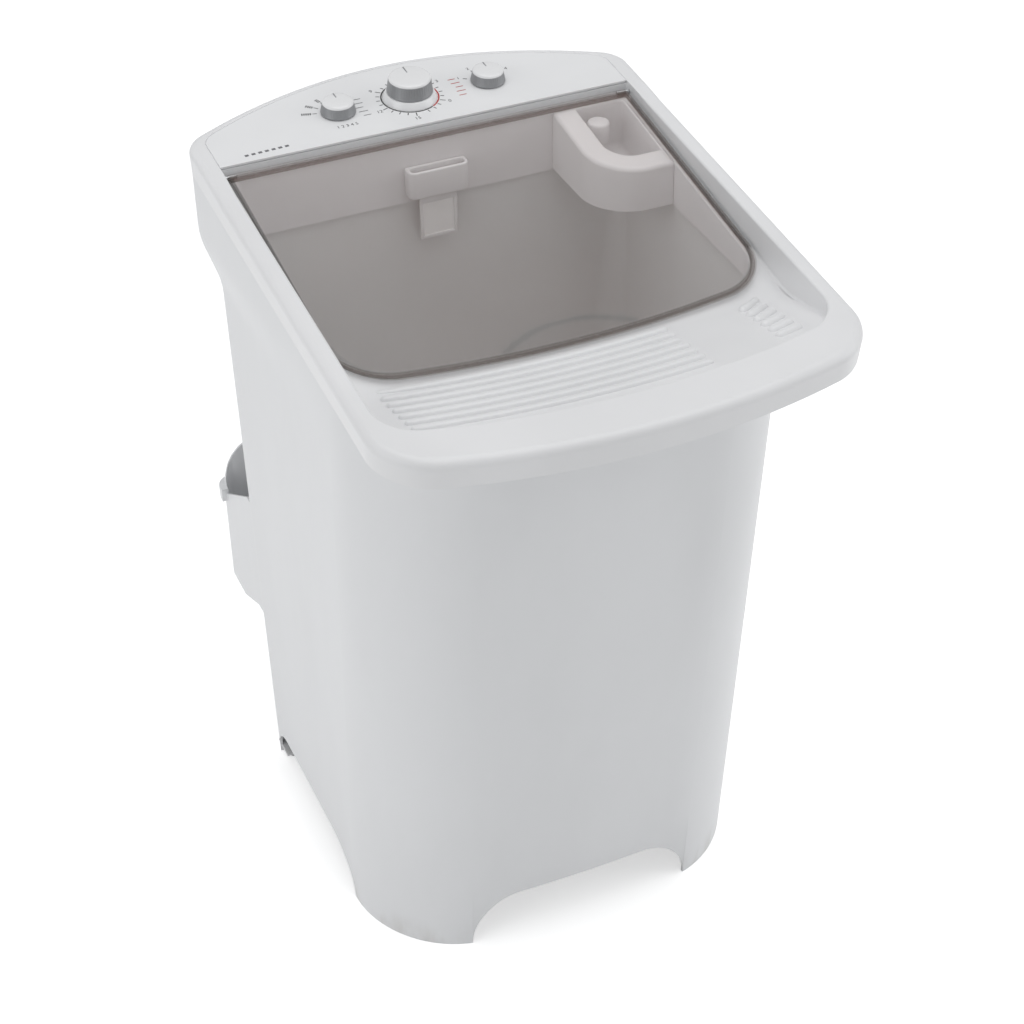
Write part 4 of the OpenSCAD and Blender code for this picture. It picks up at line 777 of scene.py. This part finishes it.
knob_grey = Finish("knob_grey", Metallic=0.35)
knob_brush = knob_grey.noise(900.0, 2.0, (1, 1, 6))
knob_tone = knob_grey.between(rgb(0.27, 0.275, 0.285), rgb(0.34, 0.345, 0.355), knob_brush)
knob_grey.surface(Base_Color=knob_tone, Roughness=knob_brush * 0.16 + 0.3)
knob_grey.bumps(knob_brush, 0.06, 0.0003)
cap_gloss = moulded_plastic("cap_gloss", (0.83, 0.83, 0.835), 0.2, grain=0.015)
knob_low = 0.6
for name, x, r, h, low in (("left", left_x, selector_r, selector_h, knob_low),
                           ("timer", timer_x, timer_r, timer_h, dial_h - 0.3 + knob_low),
                           ("right", right_x, selector_r, selector_h, knob_low)):
    node = name + "_knob"
    bm = bmesh.new()
    top = low + h
    flank = [(r - 3, low + 0.2), (r - 0.4, low + 0.2), (r, low + 0.7), (r, low + 1.6), (r - 0.3, low + 2.4),
             (r - 0.6, low + 4), (r - 1.9, top - 4.4), (r - 2.1, top - 3.4), (r - 2.3, top - 3.0),
             (r - 3.2, top - 2.9)]
    turned(bm, flank, (x, knob_row), 192, 48, 0.3, (5, 6))
    settle(bm, name + "_grip", knob_grey, "knob_grey", node, (node,), 50)
    bm = bmesh.new()
    c = r - 2.3
    turned(bm, [(c - 0.5, top - 3.3), (c, top - 2.9), (c, top - 2.4), (c - 0.25, top - 1.7),
                (c - 0.9, top - 0.9), (c - 2.0, top - 0.25), (c - 3.6, top + 0.05), (c * 0.4, top + 0.5),
                (c * 0.1, top + 0.55)], (x, knob_row), 72)
    settle(bm, name + "_cap", cap_gloss, "knob_white", node, (node + "_cap",), 50)
    bm = bmesh.new()
    block(bm, (-0.7, 0, 0), (0.7, c * 0.55, 0.5), 0.2)
    for p in bm.verts:
        p.co = on_rim(x + p.co.x, knob_row + c * 0.3 + p.co.y, top + 0.1 + p.co.z)
    settle(bm, name + "_pointer", knob_grey, "knob_grey", node)
bm = bmesh.new()
turned(bm, [(dial_r, 0.3), (dial_r - 0.2, 1.0), (dial_r - 3, 6.6), (dial_r - 3.6, 7.6), (dial_r - 4.8, 8.2),
            (dial_r - 7, dial_h), (dial_r - 12, dial_h)], (timer_x, knob_row))
settle(bm, "timer_dial", white_fascia, "panel_white", stands_for=("timer_dial_ring",), sharp=50)

# Lid: a smoked clear plastic sheet with a turned-down edge, a hinge barrel along its back, a
# thin finger lip along its front and a curved finger grip pressed into it. It swings up on two pins.


def on_lid(x, v, w):
    return (x, panel_line + v * cos(lid_tilt) - w * sin(lid_tilt),
            lid_height + v * sin(lid_tilt) + w * cos(lid_tilt))


lid_half, lid_reach, lid_lip, lid_edge, lid_wall = 245, 178, 9, 8, 2.6
lid_r, lid_rear_r, lid_turn = 60, 4, -120
grip_half, grip_depth, grip_sunk = 82.5, 33, 1.8
barrel_r, barrel_len = 3.6, 488
lid_bow = opening_bow * (lid_half / opening_half) ** 2
lid_tip = (-lid_reach - panel_line) / cos(lid_tilt)
lid_front = lid_tip + lid_bow
barrel_v = -7.5 / cos(lid_tilt)


def lid_plan(front, inset=0.0):
    return Plan(lid_half - inset, lid_half - inset, front + inset, barrel_v - 2 - inset, lid_r - inset,
                lid_rear_r, lid_bow, 0, lid_turn)


grip_r = (grip_half ** 2 + grip_depth ** 2) / (2 * grip_depth)
grip_v = lid_tip + grip_depth - grip_r
around_lid = stations((20, 120, 20, 12, 10, 3, 40, 3, 10, 12))


def grip(x, v):
    """How deep the finger grip sinks the sheet at a place."""
    return -grip_sunk * smooth(grip_r - hypot(x, v - grip_v), -0.5, 3.0)


# The edge tint is denser smoke plus painted shade: the lid's walls, its side border and the strip under the
# panel are darkened where the gap beside and behind the lid lies in shade.
sheet_tint, edge_tint_and_shade, lip_tint_and_shade, grip_tint = range(4)


def shade(ring, chosen, only=around_lid):
    """Gives the faces at a ring's stations one of the lid's finishes."""
    for station, v in zip(around_lid, ring):
        if station in only:
            for face in v.link_faces:
                face.material_index = chosen(station[0])


edge_plan, lip_plan = lid_plan(lid_front), lid_plan(lid_front - lid_lip)
bm = bmesh.new()
ring = closed_loop(bm, [on_lid(*edge_plan.spot(p, t), -lid_edge) for p, t in around_lid])
for out, w in ((0, -5), (0.2, -3.2)):
    ring = carry(bm, ring, [on_lid(*edge_plan.spot(p, t, out), w) for p, t in around_lid])
    shade(ring, lambda part: edge_tint_and_shade)
# Along the front, the lip rings take the lip tint: the lip's smoke, darkened further as painted shade from
# under the lip.
for out, w in ((-0.4, -2.7), (0, -2.2), (0, -1.2), (-0.45, -0.35), (-1.4, 0)):
    ring = carry(bm, ring, [on_lid(*lip_plan.spot(p, t, out), w) for p, t in around_lid])
    shade(ring, lambda part: lip_tint_and_shade if part < 3 else edge_tint_and_shade)
for inset in [1.5 + 1.9 * k for k in range(1, 26)]:
    sheet = lid_plan(lid_front - lid_lip, inset)
    places, groove = [], set()
    for p, t in around_lid:
        x, v = sheet.spot(p, t)
        inside = smooth(inset, 10.5, 13.5)
        if inset > 11 and -1.2 < grip_r - hypot(x, v - grip_v) < 3.2:
            groove.add((p, t))
        places.append(on_lid(x, v, grip(x, v) * inside))
    ring = carry(bm, ring, places)
    # Along the sides the sheet's border takes the edge tint as painted shade of the shaded ledge beside the
    # lid.
    side_tint = edge_tint_and_shade if inset < 5.5 else sheet_tint
    shade(ring, lambda part: lip_tint_and_shade if part < 3 and inset < 10 else
          sheet_tint if part in (5, 6, 7) else side_tint)
    shade(ring, lambda part: grip_tint, groove)
bm.faces.new(ring)
face_out(bm, (0, 0, 800))
if max(bm.faces, key=lambda f: f.calc_area()).normal.z < 0:
    bmesh.ops.reverse_faces(bm, faces=bm.faces)


def smoked_plastic(name, darker, lighter, alpha):
    """Clear plastic with a brown smoke in it: a thicker edge lets less light through. Denser copies also
    paint the shade beside, behind and under the lid.
    """
    finish = Finish(name, IOR=1.49)
    cloud = finish.noise(6.0, 3.0)
    finish.surface(Base_Color=finish.between(rgb(*darker), rgb(*lighter), cloud),
                   Roughness=cloud * 0.04 + 0.1, Alpha=cloud * 0.02 + (alpha - 0.01))
    finish.bumps(finish.noise(14.0, 2.0), 0.02, 0.001)
    return finish


smoked = smoked_plastic("smoked_clear", (0.62, 0.43, 0.37), (0.67, 0.47, 0.41), 0.075)
# Edge finish: the edge's denser smoke plus painted shade of the gap, the ledge and the panel strip round
# the lid.
smoked_edge_and_shade = smoked_plastic("smoked_edge_and_shade", (0.097, 0.082, 0.075), (0.125, 0.105, 0.097), 0.44)
# Lip finish: the lip's smoke plus painted shade from under the front lip. The hinge barrel uses it too.
smoked_lip_and_shade = smoked_plastic("smoked_lip_and_shade", (0.27, 0.225, 0.205), (0.31, 0.26, 0.24), 0.17)
smoked_grip = smoked_plastic("smoked_grip", (0.17, 0.115, 0.095), (0.20, 0.14, 0.115), 0.11)
lid = settle(bm, "lid_sheet", smoked, "smoked_clear", "lid", ("lid",), 50)
for finish in (smoked_edge_and_shade, smoked_lip_and_shade, smoked_grip):
    lid.data.materials.append(finish.material)
thicken(lid, lid_wall)
soften(lid, 0.3, angle=60)
bm = bmesh.new()
barrel_place = Matrix.Translation(on_lid(0, barrel_v, -lid_edge / 2)) @ Matrix.Rotation(pi / 2, 4, "Y")
bmesh.ops.create_cone(bm, cap_ends=True, segments=32, radius1=barrel_r, radius2=barrel_r, depth=barrel_len,
                      matrix=barrel_place)
barrel = settle(bm, "lid_barrel", smoked_lip_and_shade, "smoked_clear", "lid")
soften(barrel, 0.5)


def bright_metal(name, colour, roughness, grain=0.05, scale=400.0):
    """Plated or machined metal: fine marks and a few duller patches."""
    finish = Finish(name, Metallic=1.0)
    marks = finish.noise(scale, 3.0)
    patches = finish.noise(22.0, 4.0)
    finish.surface(Base_Color=finish.between(rgb(*(c * 0.8 for c in colour)), rgb(*colour), patches),
                   Roughness=marks * 0.15 + patches * 0.15 + (roughness - 0.12))
    finish.bumps(marks, grain, 0.0003)
    return finish


zinc = bright_metal("zinc_plate", (0.6, 0.61, 0.62), 0.34)
dressed("hinge_pins", zinc, "zinc_steel", edge=0.3)

# Tub: a deep grey-white plastic bowl with a rounded floor, screwed through its wall to the top
# frame's skirt. A white strainer covers the drain hole in its floor.
tub_plastic = moulded_plastic("tub_plastic", (0.765, 0.78, 0.78), 0.42)
dressed("tub", tub_plastic, "tub_grey", edge=0.8, sharp=40)
dressed("tub_screws", zinc, "zinc_steel", edge=0.2)
dressed("drain_strainer", white_frame, "cap_white", edge=0.2)

# Softener cup: a quarter-round white cup with a thick rounded rim in the opening's rear right
# corner. A hollow post stands in it, and a loose siphon cap slides on the post.


cup_left, cup_front, cup_r, cup_corner_r, cup_gap = 150, 68, 60, 11.6, 0.4
cup_low, cup_floor, cup_round = 797.5, 810, 5


def cup_spot(part, t, rim, wall):
    """The cup's plan, drawn in by rim on its free sides and by wall along the opening."""
    left, front, r = cup_left + rim, cup_front + rim, cup_r - rim
    right, back = opening_half - cup_gap - wall, opening_back - cup_gap - wall
    near, a, b = cup_corner_r - wall, radians(180 + 90 * t), radians(90 * t)
    return {0: (left, lerp(back, front + r, t)),
            1: (left + r + r * cos(a), front + r + r * sin(a)),
            2: (lerp(left + r, right, t), front),
            3: (right, lerp(front, back - near, t)),
            4: (right - near + near * cos(b), back - near + near * sin(b)),
            5: (lerp(right - near, left, t), back)}[part]


around_cup = stations((14, 28, 8, 20, 8, 14))


def cup_ring(rim, wall, drop, floor=None):
    """A ring of the cup, at a height or that far under its sloping top."""
    for p, t in around_cup:
        x, y = cup_spot(p, t, rim, wall)
        yield x, y, floor_z(y) - cup_gap - drop if floor is None else floor


bm = bmesh.new()
ring = closed_loop(bm, cup_ring(0, 0, 0, cup_low))
bm.faces.new(ring[::-1])
ring = carry(bm, ring, cup_ring(0, 0, cup_round + 0.5))
for up, across in quarter(9, 1):
    ring = carry(bm, ring, cup_ring(cup_round * across, 0.5 * across, cup_round * (1 - up)))
ring = carry(bm, ring, cup_ring(14, 1, -0.1))
for up, across in quarter(6):
    ring = carry(bm, ring, cup_ring(25 + 3 * up, 1.5 + 1.3 * up, 3 * across))
for rim, wall, lift in ((29, 3.2, 6), (30, 3.8, 2), (34, 6, 0)):
    ring = carry(bm, ring, cup_ring(rim, wall, 0, cup_floor + lift))
bm.faces.new(ring)
agree(bm)
settle(bm, "softener_cup", white_frame, "body_white", stands_for=("dispenser_cup",), sharp=55)


def upright(bm, profile, x, y):
    """Spins a profile of (radius, height) about an upright axis."""
    line = [bm.verts.new((x + r, y, z)) for r, z in profile]
    edges = [bm.edges.new(pair) for pair in zip(line, line[1:])]
    bmesh.ops.spin(bm, geom=line + edges, cent=(x, y, 0), axis=(0, 0, 1), angle=2 * pi, steps=48,
                   use_merge=True)
    bmesh.ops.remove_doubles(bm, verts=bm.verts, dist=1e-4)
    agree(bm)


post_x, post_y, post_r, bore_r, post_high = 195, 174, 7, 3, 845
cap_r, cap_h, cap_lift, lid_clear = 13, 26, 7, 2.5
bm = bmesh.new()
upright(bm, [(bore_r, cup_floor - 4), (bore_r, post_high - 0.4), (bore_r + 0.4, post_high),
             (post_r - 0.4, post_high), (post_r, post_high - 0.4), (post_r, cup_floor + 2),
             (post_r + 2, cup_floor - 0.5)], post_x, post_y)
settle(bm, "cup_post", white_frame, "body_white")
bm = bmesh.new()
cap_high = lid_height + (post_y - panel_line) * tan(lid_tilt) - 3 - cap_lift - lid_clear
upright(bm, [(post_r + 0.2, cap_high - cap_h), (cap_r - 0.4, cap_high - cap_h),
             (cap_r, cap_high - cap_h + 0.4), (cap_r, cap_high - 3), (cap_r - 0.9, cap_high - 0.9),
             (cap_r - 2.5, cap_high), (0.01, cap_high)], post_x, post_y)
settle(bm, "siphon_top", white_frame, "cap_white", "siphon_cap", ("siphon_cap",), 50)

# Lint filter: a white bracket clipped on the back wall of the opening, and a small frame with
# a fine mesh that slides in the bracket's slot and hangs into the water.
tray_y, tray_low, tray_high, tray_round, slot_round = 192.7, 808, 841.9, 1.9, 1.4
tray = Plan(37, 37, tray_y - 10, tray_y + 9.7, 9, 2.5, 0, 0, tray_y)
tray_slot = Plan(33.2, 33.2, tray_y - 6.2, tray_y + 5.2, 5.4, 4.5, 0, 0, tray_y)


def tray_ring(plan, out, z):
    return [plan.spot(p, t, out) + (z,) for p, t in stations((12, 12, 12, 2, 2, 6, 12, 6, 2, 2))]


bm = bmesh.new()
ring = closed_loop(bm, tray_ring(tray_slot, 0.8, tray_low))
for out, z in ((-1.2, tray_low), (-0.35, tray_low + 0.35), (0, tray_low + 1.2), (0, tray_high - 2.5)):
    ring = carry(bm, ring, tray_ring(tray, out, z))
for up, across in quarter(4, 1):
    ring = carry(bm, ring, tray_ring(tray, -tray_round * across, tray_high - tray_round * (1 - up)))
for up, across in quarter(3):
    ring = carry(bm, ring, tray_ring(tray_slot, slot_round * (1 - up), tray_high - slot_round * across))
for out, z in ((0, tray_low + 1), (0.8, tray_low)):
    ring = carry(bm, ring, tray_ring(tray_slot, out, z))
bmesh.ops.remove_doubles(bm, verts=bm.verts, dist=0.001)
agree(bm)
settle(bm, "filter_tray", white_frame, "body_white", stands_for=("filter_bracket",), sharp=55)

holder_low, net_top, holder_top = 750, 796, 830
bm = bmesh.new()
for x0, x1, deep, z0, z1 in ((-26, 26, 2.3, holder_top - 0.5, holder_top + 4.5),
                             (-23, 23, 1.5, net_top, holder_top),
                             (-23, -19, 1.5, holder_low, net_top + 1),
                             (19, 23, 1.5, holder_low, net_top + 1),
                             (-20, 20, 1.5, holder_low, holder_low + 4)):
    block(bm, (x0, tray_y - deep, z0), (x1, tray_y + deep, z1), 0.5)
settle(bm, "filter_holder", cap_gloss, "cap_white", "filter", ("filter_frame",))
filter_net = Finish("filter_net", Roughness=0.55)
thread = 0.0006
threads = []
for axis in ("X", "Z"):
    way = filter_net.node("SeparateXYZ", {}, {0: filter_net.place}, out=axis)
    threads.append(filter_net.node("Math", {"operation": "PINGPONG"}, {0: way, 1: thread}) / thread)
weave = threads[0].most(threads[1])
filter_net.surface(Base_Color=filter_net.between(rgb(0.9, 0.9, 0.89), rgb(1.0, 1.0, 0.99), weave),
                   Alpha=filter_net.step(weave, 0.35, 0.6) * 0.1 + 0.9)
filter_net.bumps(weave, 0.5, 0.0004)
bm = bmesh.new()
net_place = Matrix.Translation((0, tray_y, holder_low + 25)) @ Matrix.Rotation(pi / 2, 4, "X")
bmesh.ops.create_grid(bm, x_segments=12, y_segments=14, size=0.5,
                      matrix=net_place @ Matrix.Diagonal((39, 43, 1, 1)))
settle(bm, "filter_cloth", filter_net, "mesh_grey", "filter", ("filter_mesh",))

# Agitator: a white ribbed disc with a grey cap, on the shaft that comes up through the tub's
# floor. The belt drives it from below.
agitator_white = moulded_plastic("agitator_white", (0.78, 0.78, 0.785), 0.36)
dressed("agitator", agitator_white, "cap_white", "agitator", edge=1.2, sharp=42, segments=3)
dressed("agitator_cap", knob_grey, "knob_grey", "agitator", edge=0.8)

# Rear fittings: the scoop-shaped hose pocket, the louvred steel cover over the motor, the
# water inlet, the drain spigot and the cable gland, screwed or snapped into the back wall.
dressed("hose_pocket", white_shell, "body_white", edge=1.2, sharp=40, segments=3)
dressed("water_inlet", white_frame, "cap_white", edge=0.6)
galvanised = bright_metal("galvanised_sheet", (0.62, 0.63, 0.64), 0.42, scale=120.0)
dressed("rear_cover", galvanised, "zinc_steel", edge=0.3)
dressed("cover_screws", zinc, "zinc_steel", edge=0.2)
dressed("pocket_screws", zinc, "zinc_steel", edge=0.2)
black_mould = moulded_plastic("black_mould", (0.022, 0.022, 0.024), 0.5, grain=0.15)
dressed("cord_gland", black_mould, "black_plastic", edge=0.5)
dressed("drain_pipe", black_mould, "black_plastic", edge=0.5)

# Drive: the motor hangs on a bracket under the tub and turns the agitator's shaft by a belt
# and two pulleys. A cast housing with two brass bushes and a rubber seal carries the shaft.
# The timer and the two selectors hang under the control panel.
motor_paint = bright_metal("motor_paint", (0.3, 0.31, 0.33), 0.45)
cast_alloy = bright_metal("cast_alloy", (0.52, 0.53, 0.54), 0.5, grain=0.3, scale=700.0)
turned_steel = bright_metal("turned_steel", (0.6, 0.6, 0.61), 0.28)
brass = bright_metal("bush_brass", (0.62, 0.42, 0.16), 0.35)
for node, finish, slot, *body in (
        ("motor", motor_paint, "motor_steel"),
        ("motor_bracket", galvanised, "zinc_steel"),
        ("motor_mounts", rubber, "black_rubber"),
        ("capacitor", galvanised, "zinc_steel"),
        ("capacitor_clip", zinc, "zinc_steel"),
        ("bearing_housing", cast_alloy, "cast_metal"),
        ("housing_screws", zinc, "zinc_steel"),
        ("upper_bush", brass, "bush_brass"),
        ("lower_bush", brass, "bush_brass"),
        ("shaft_seal", rubber, "black_rubber"),
        ("drive_belt", rubber, "black_rubber"),
        ("timer_body", black_mould, "black_plastic"),
        ("left_selector_body", black_mould, "black_plastic"),
        ("right_selector_body", black_mould, "black_plastic"),
        ("agitator_shaft", turned_steel, "zinc_steel", "agitator"),
        ("drive_pulley", cast_alloy, "cast_metal", "agitator"),
        ("pulley_nut", zinc, "zinc_steel", "agitator"),
        ("motor_rotor", turned_steel, "zinc_steel", "motor_rotor"),
        ("motor_pulley", cast_alloy, "cast_metal", "motor_rotor"),
        ("left_shaft", turned_steel, "zinc_steel", "left_knob"),
        ("timer_shaft", turned_steel, "zinc_steel", "timer_knob"),
        ("right_shaft", turned_steel, "zinc_steel", "right_knob")):
    dressed(node, finish, slot, *body, edge=0.3)

# Studio: a pale floor, square soft lamps above and on every side, and a white surround that
# only the camera and clear pieces see, so that the object keeps its own shades.
bm = bmesh.new()
bmesh.ops.create_grid(bm, x_segments=1, y_segments=1, size=9.0)
floor_mesh = bpy.data.meshes.new("floor")
bm.to_mesh(floor_mesh)
bm.free()
floor = added("floor", floor_mesh)
paper = Finish("floor_paper", Roughness=0.9)
paper_fleck = paper.noise(3.0, 2.0)
paper.surface(Base_Color=paper.between(rgb(0.93, 0.93, 0.93), rgb(0.96, 0.96, 0.96), paper_fleck))
rays = [paper.node("LightPath", out="Is " + kind + " Ray") for kind in ("Camera", "Glossy", "Transmission")]
lit = Tone(paper, paper.shader.outputs[0])
glow = paper.node("Emission", {}, {"Color": rgb(1, 1, 1), "Strength": 0.52})
lifted = paper.node("AddShader", {}, {0: lit, 1: glow})
shown = paper.node("MixShader", {}, {0: rays[0].most(rays[1]).most(rays[2]), 1: lit, 2: lifted})
paper.join(paper.tree.nodes["Material Output"].inputs["Surface"], shown)
floor_mesh.materials.append(paper.material)

world = bpy.data.worlds.new("surround")
bpy.context.scene.world = world
world.use_nodes = True
sky = world.node_tree
sky.nodes.clear()
seen = sky.nodes.new("ShaderNodeLightPath")
either = sky.nodes.new("ShaderNodeMath")
either.operation = "MAXIMUM"
sky.links.new(seen.outputs["Is Camera Ray"], either.inputs[0])
sky.links.new(seen.outputs["Is Transmission Ray"], either.inputs[1])
choose = sky.nodes.new("ShaderNodeMixShader")
sky.links.new(either.outputs[0], choose.inputs[0])
for entry, (colour, strength) in enumerate(((rgb(0.97, 0.985, 1.0), 0.40), (rgb(1, 1, 1), 1.0)), 1):
    light = sky.nodes.new("ShaderNodeBackground")
    light.inputs["Color"].default_value = colour
    light.inputs["Strength"].default_value = strength
    sky.links.new(light.outputs[0], choose.inputs[entry])
result = sky.nodes.new("ShaderNodeOutputWorld")
sky.links.new(choose.outputs[0], result.inputs[0])

for name, place, aim_z, size, watts in (("overhead", (0.2, 0.1, 3.6), 0.6, 3.0, 41),
                                        ("back_soft", (-1.6, 3.4, 2.0), 0.5, 2.2, 6),
                                        ("left_soft", (-3.4, -0.6, 1.7), 0.5, 2.6, 28),
                                        ("right_soft", (3.2, -1.2, 1.8), 0.5, 2.4, 26),
                                        ("front_soft", (-0.6, -3.8, 1.4), 0.4, 2.6, 7)):
    light = bpy.data.lights.new(name, "AREA")
    light.size = size
    light.energy = watts
    holder = added(name, light)
    holder.location = place
    holder.rotation_euler = (Vector((0, 0, aim_z)) - Vector(place)).to_track_quat("-Z", "Y").to_euler()

# Camera: the photograph's own viewpoint. Its focal length and the middle of its picture are
# given in pixels of the photograph.
picture_px, focal_px, centre_x_px, centre_y_px = 1024, 2279.72, 510.58, 502.79
sensor = 36
camera_data = bpy.data.cameras.new("camera")
camera_data.sensor_width = sensor
camera_data.lens = focal_px * sensor / picture_px
camera_data.shift_x = (picture_px / 2 - centre_x_px) / picture_px
camera_data.shift_y = (centre_y_px - picture_px / 2) / picture_px
camera_data.clip_end = 50
camera = added("camera", camera_data)
right = Vector((0.91556825, -0.40190852, -0.01429392))
up = Vector((0.2524162, 0.54662081, 0.79843081))
back = -Vector((0.31308279, 0.73462592, -0.60191688))
turn = Matrix((right, up, back)).transposed()
camera.matrix_world = Matrix.Translation((-0.83555, -1.96490, 2.09971)) @ turn.to_4x4()
bpy.context.scene.camera = camera
bpy.context.scene.view_settings.view_transform = "Standard"
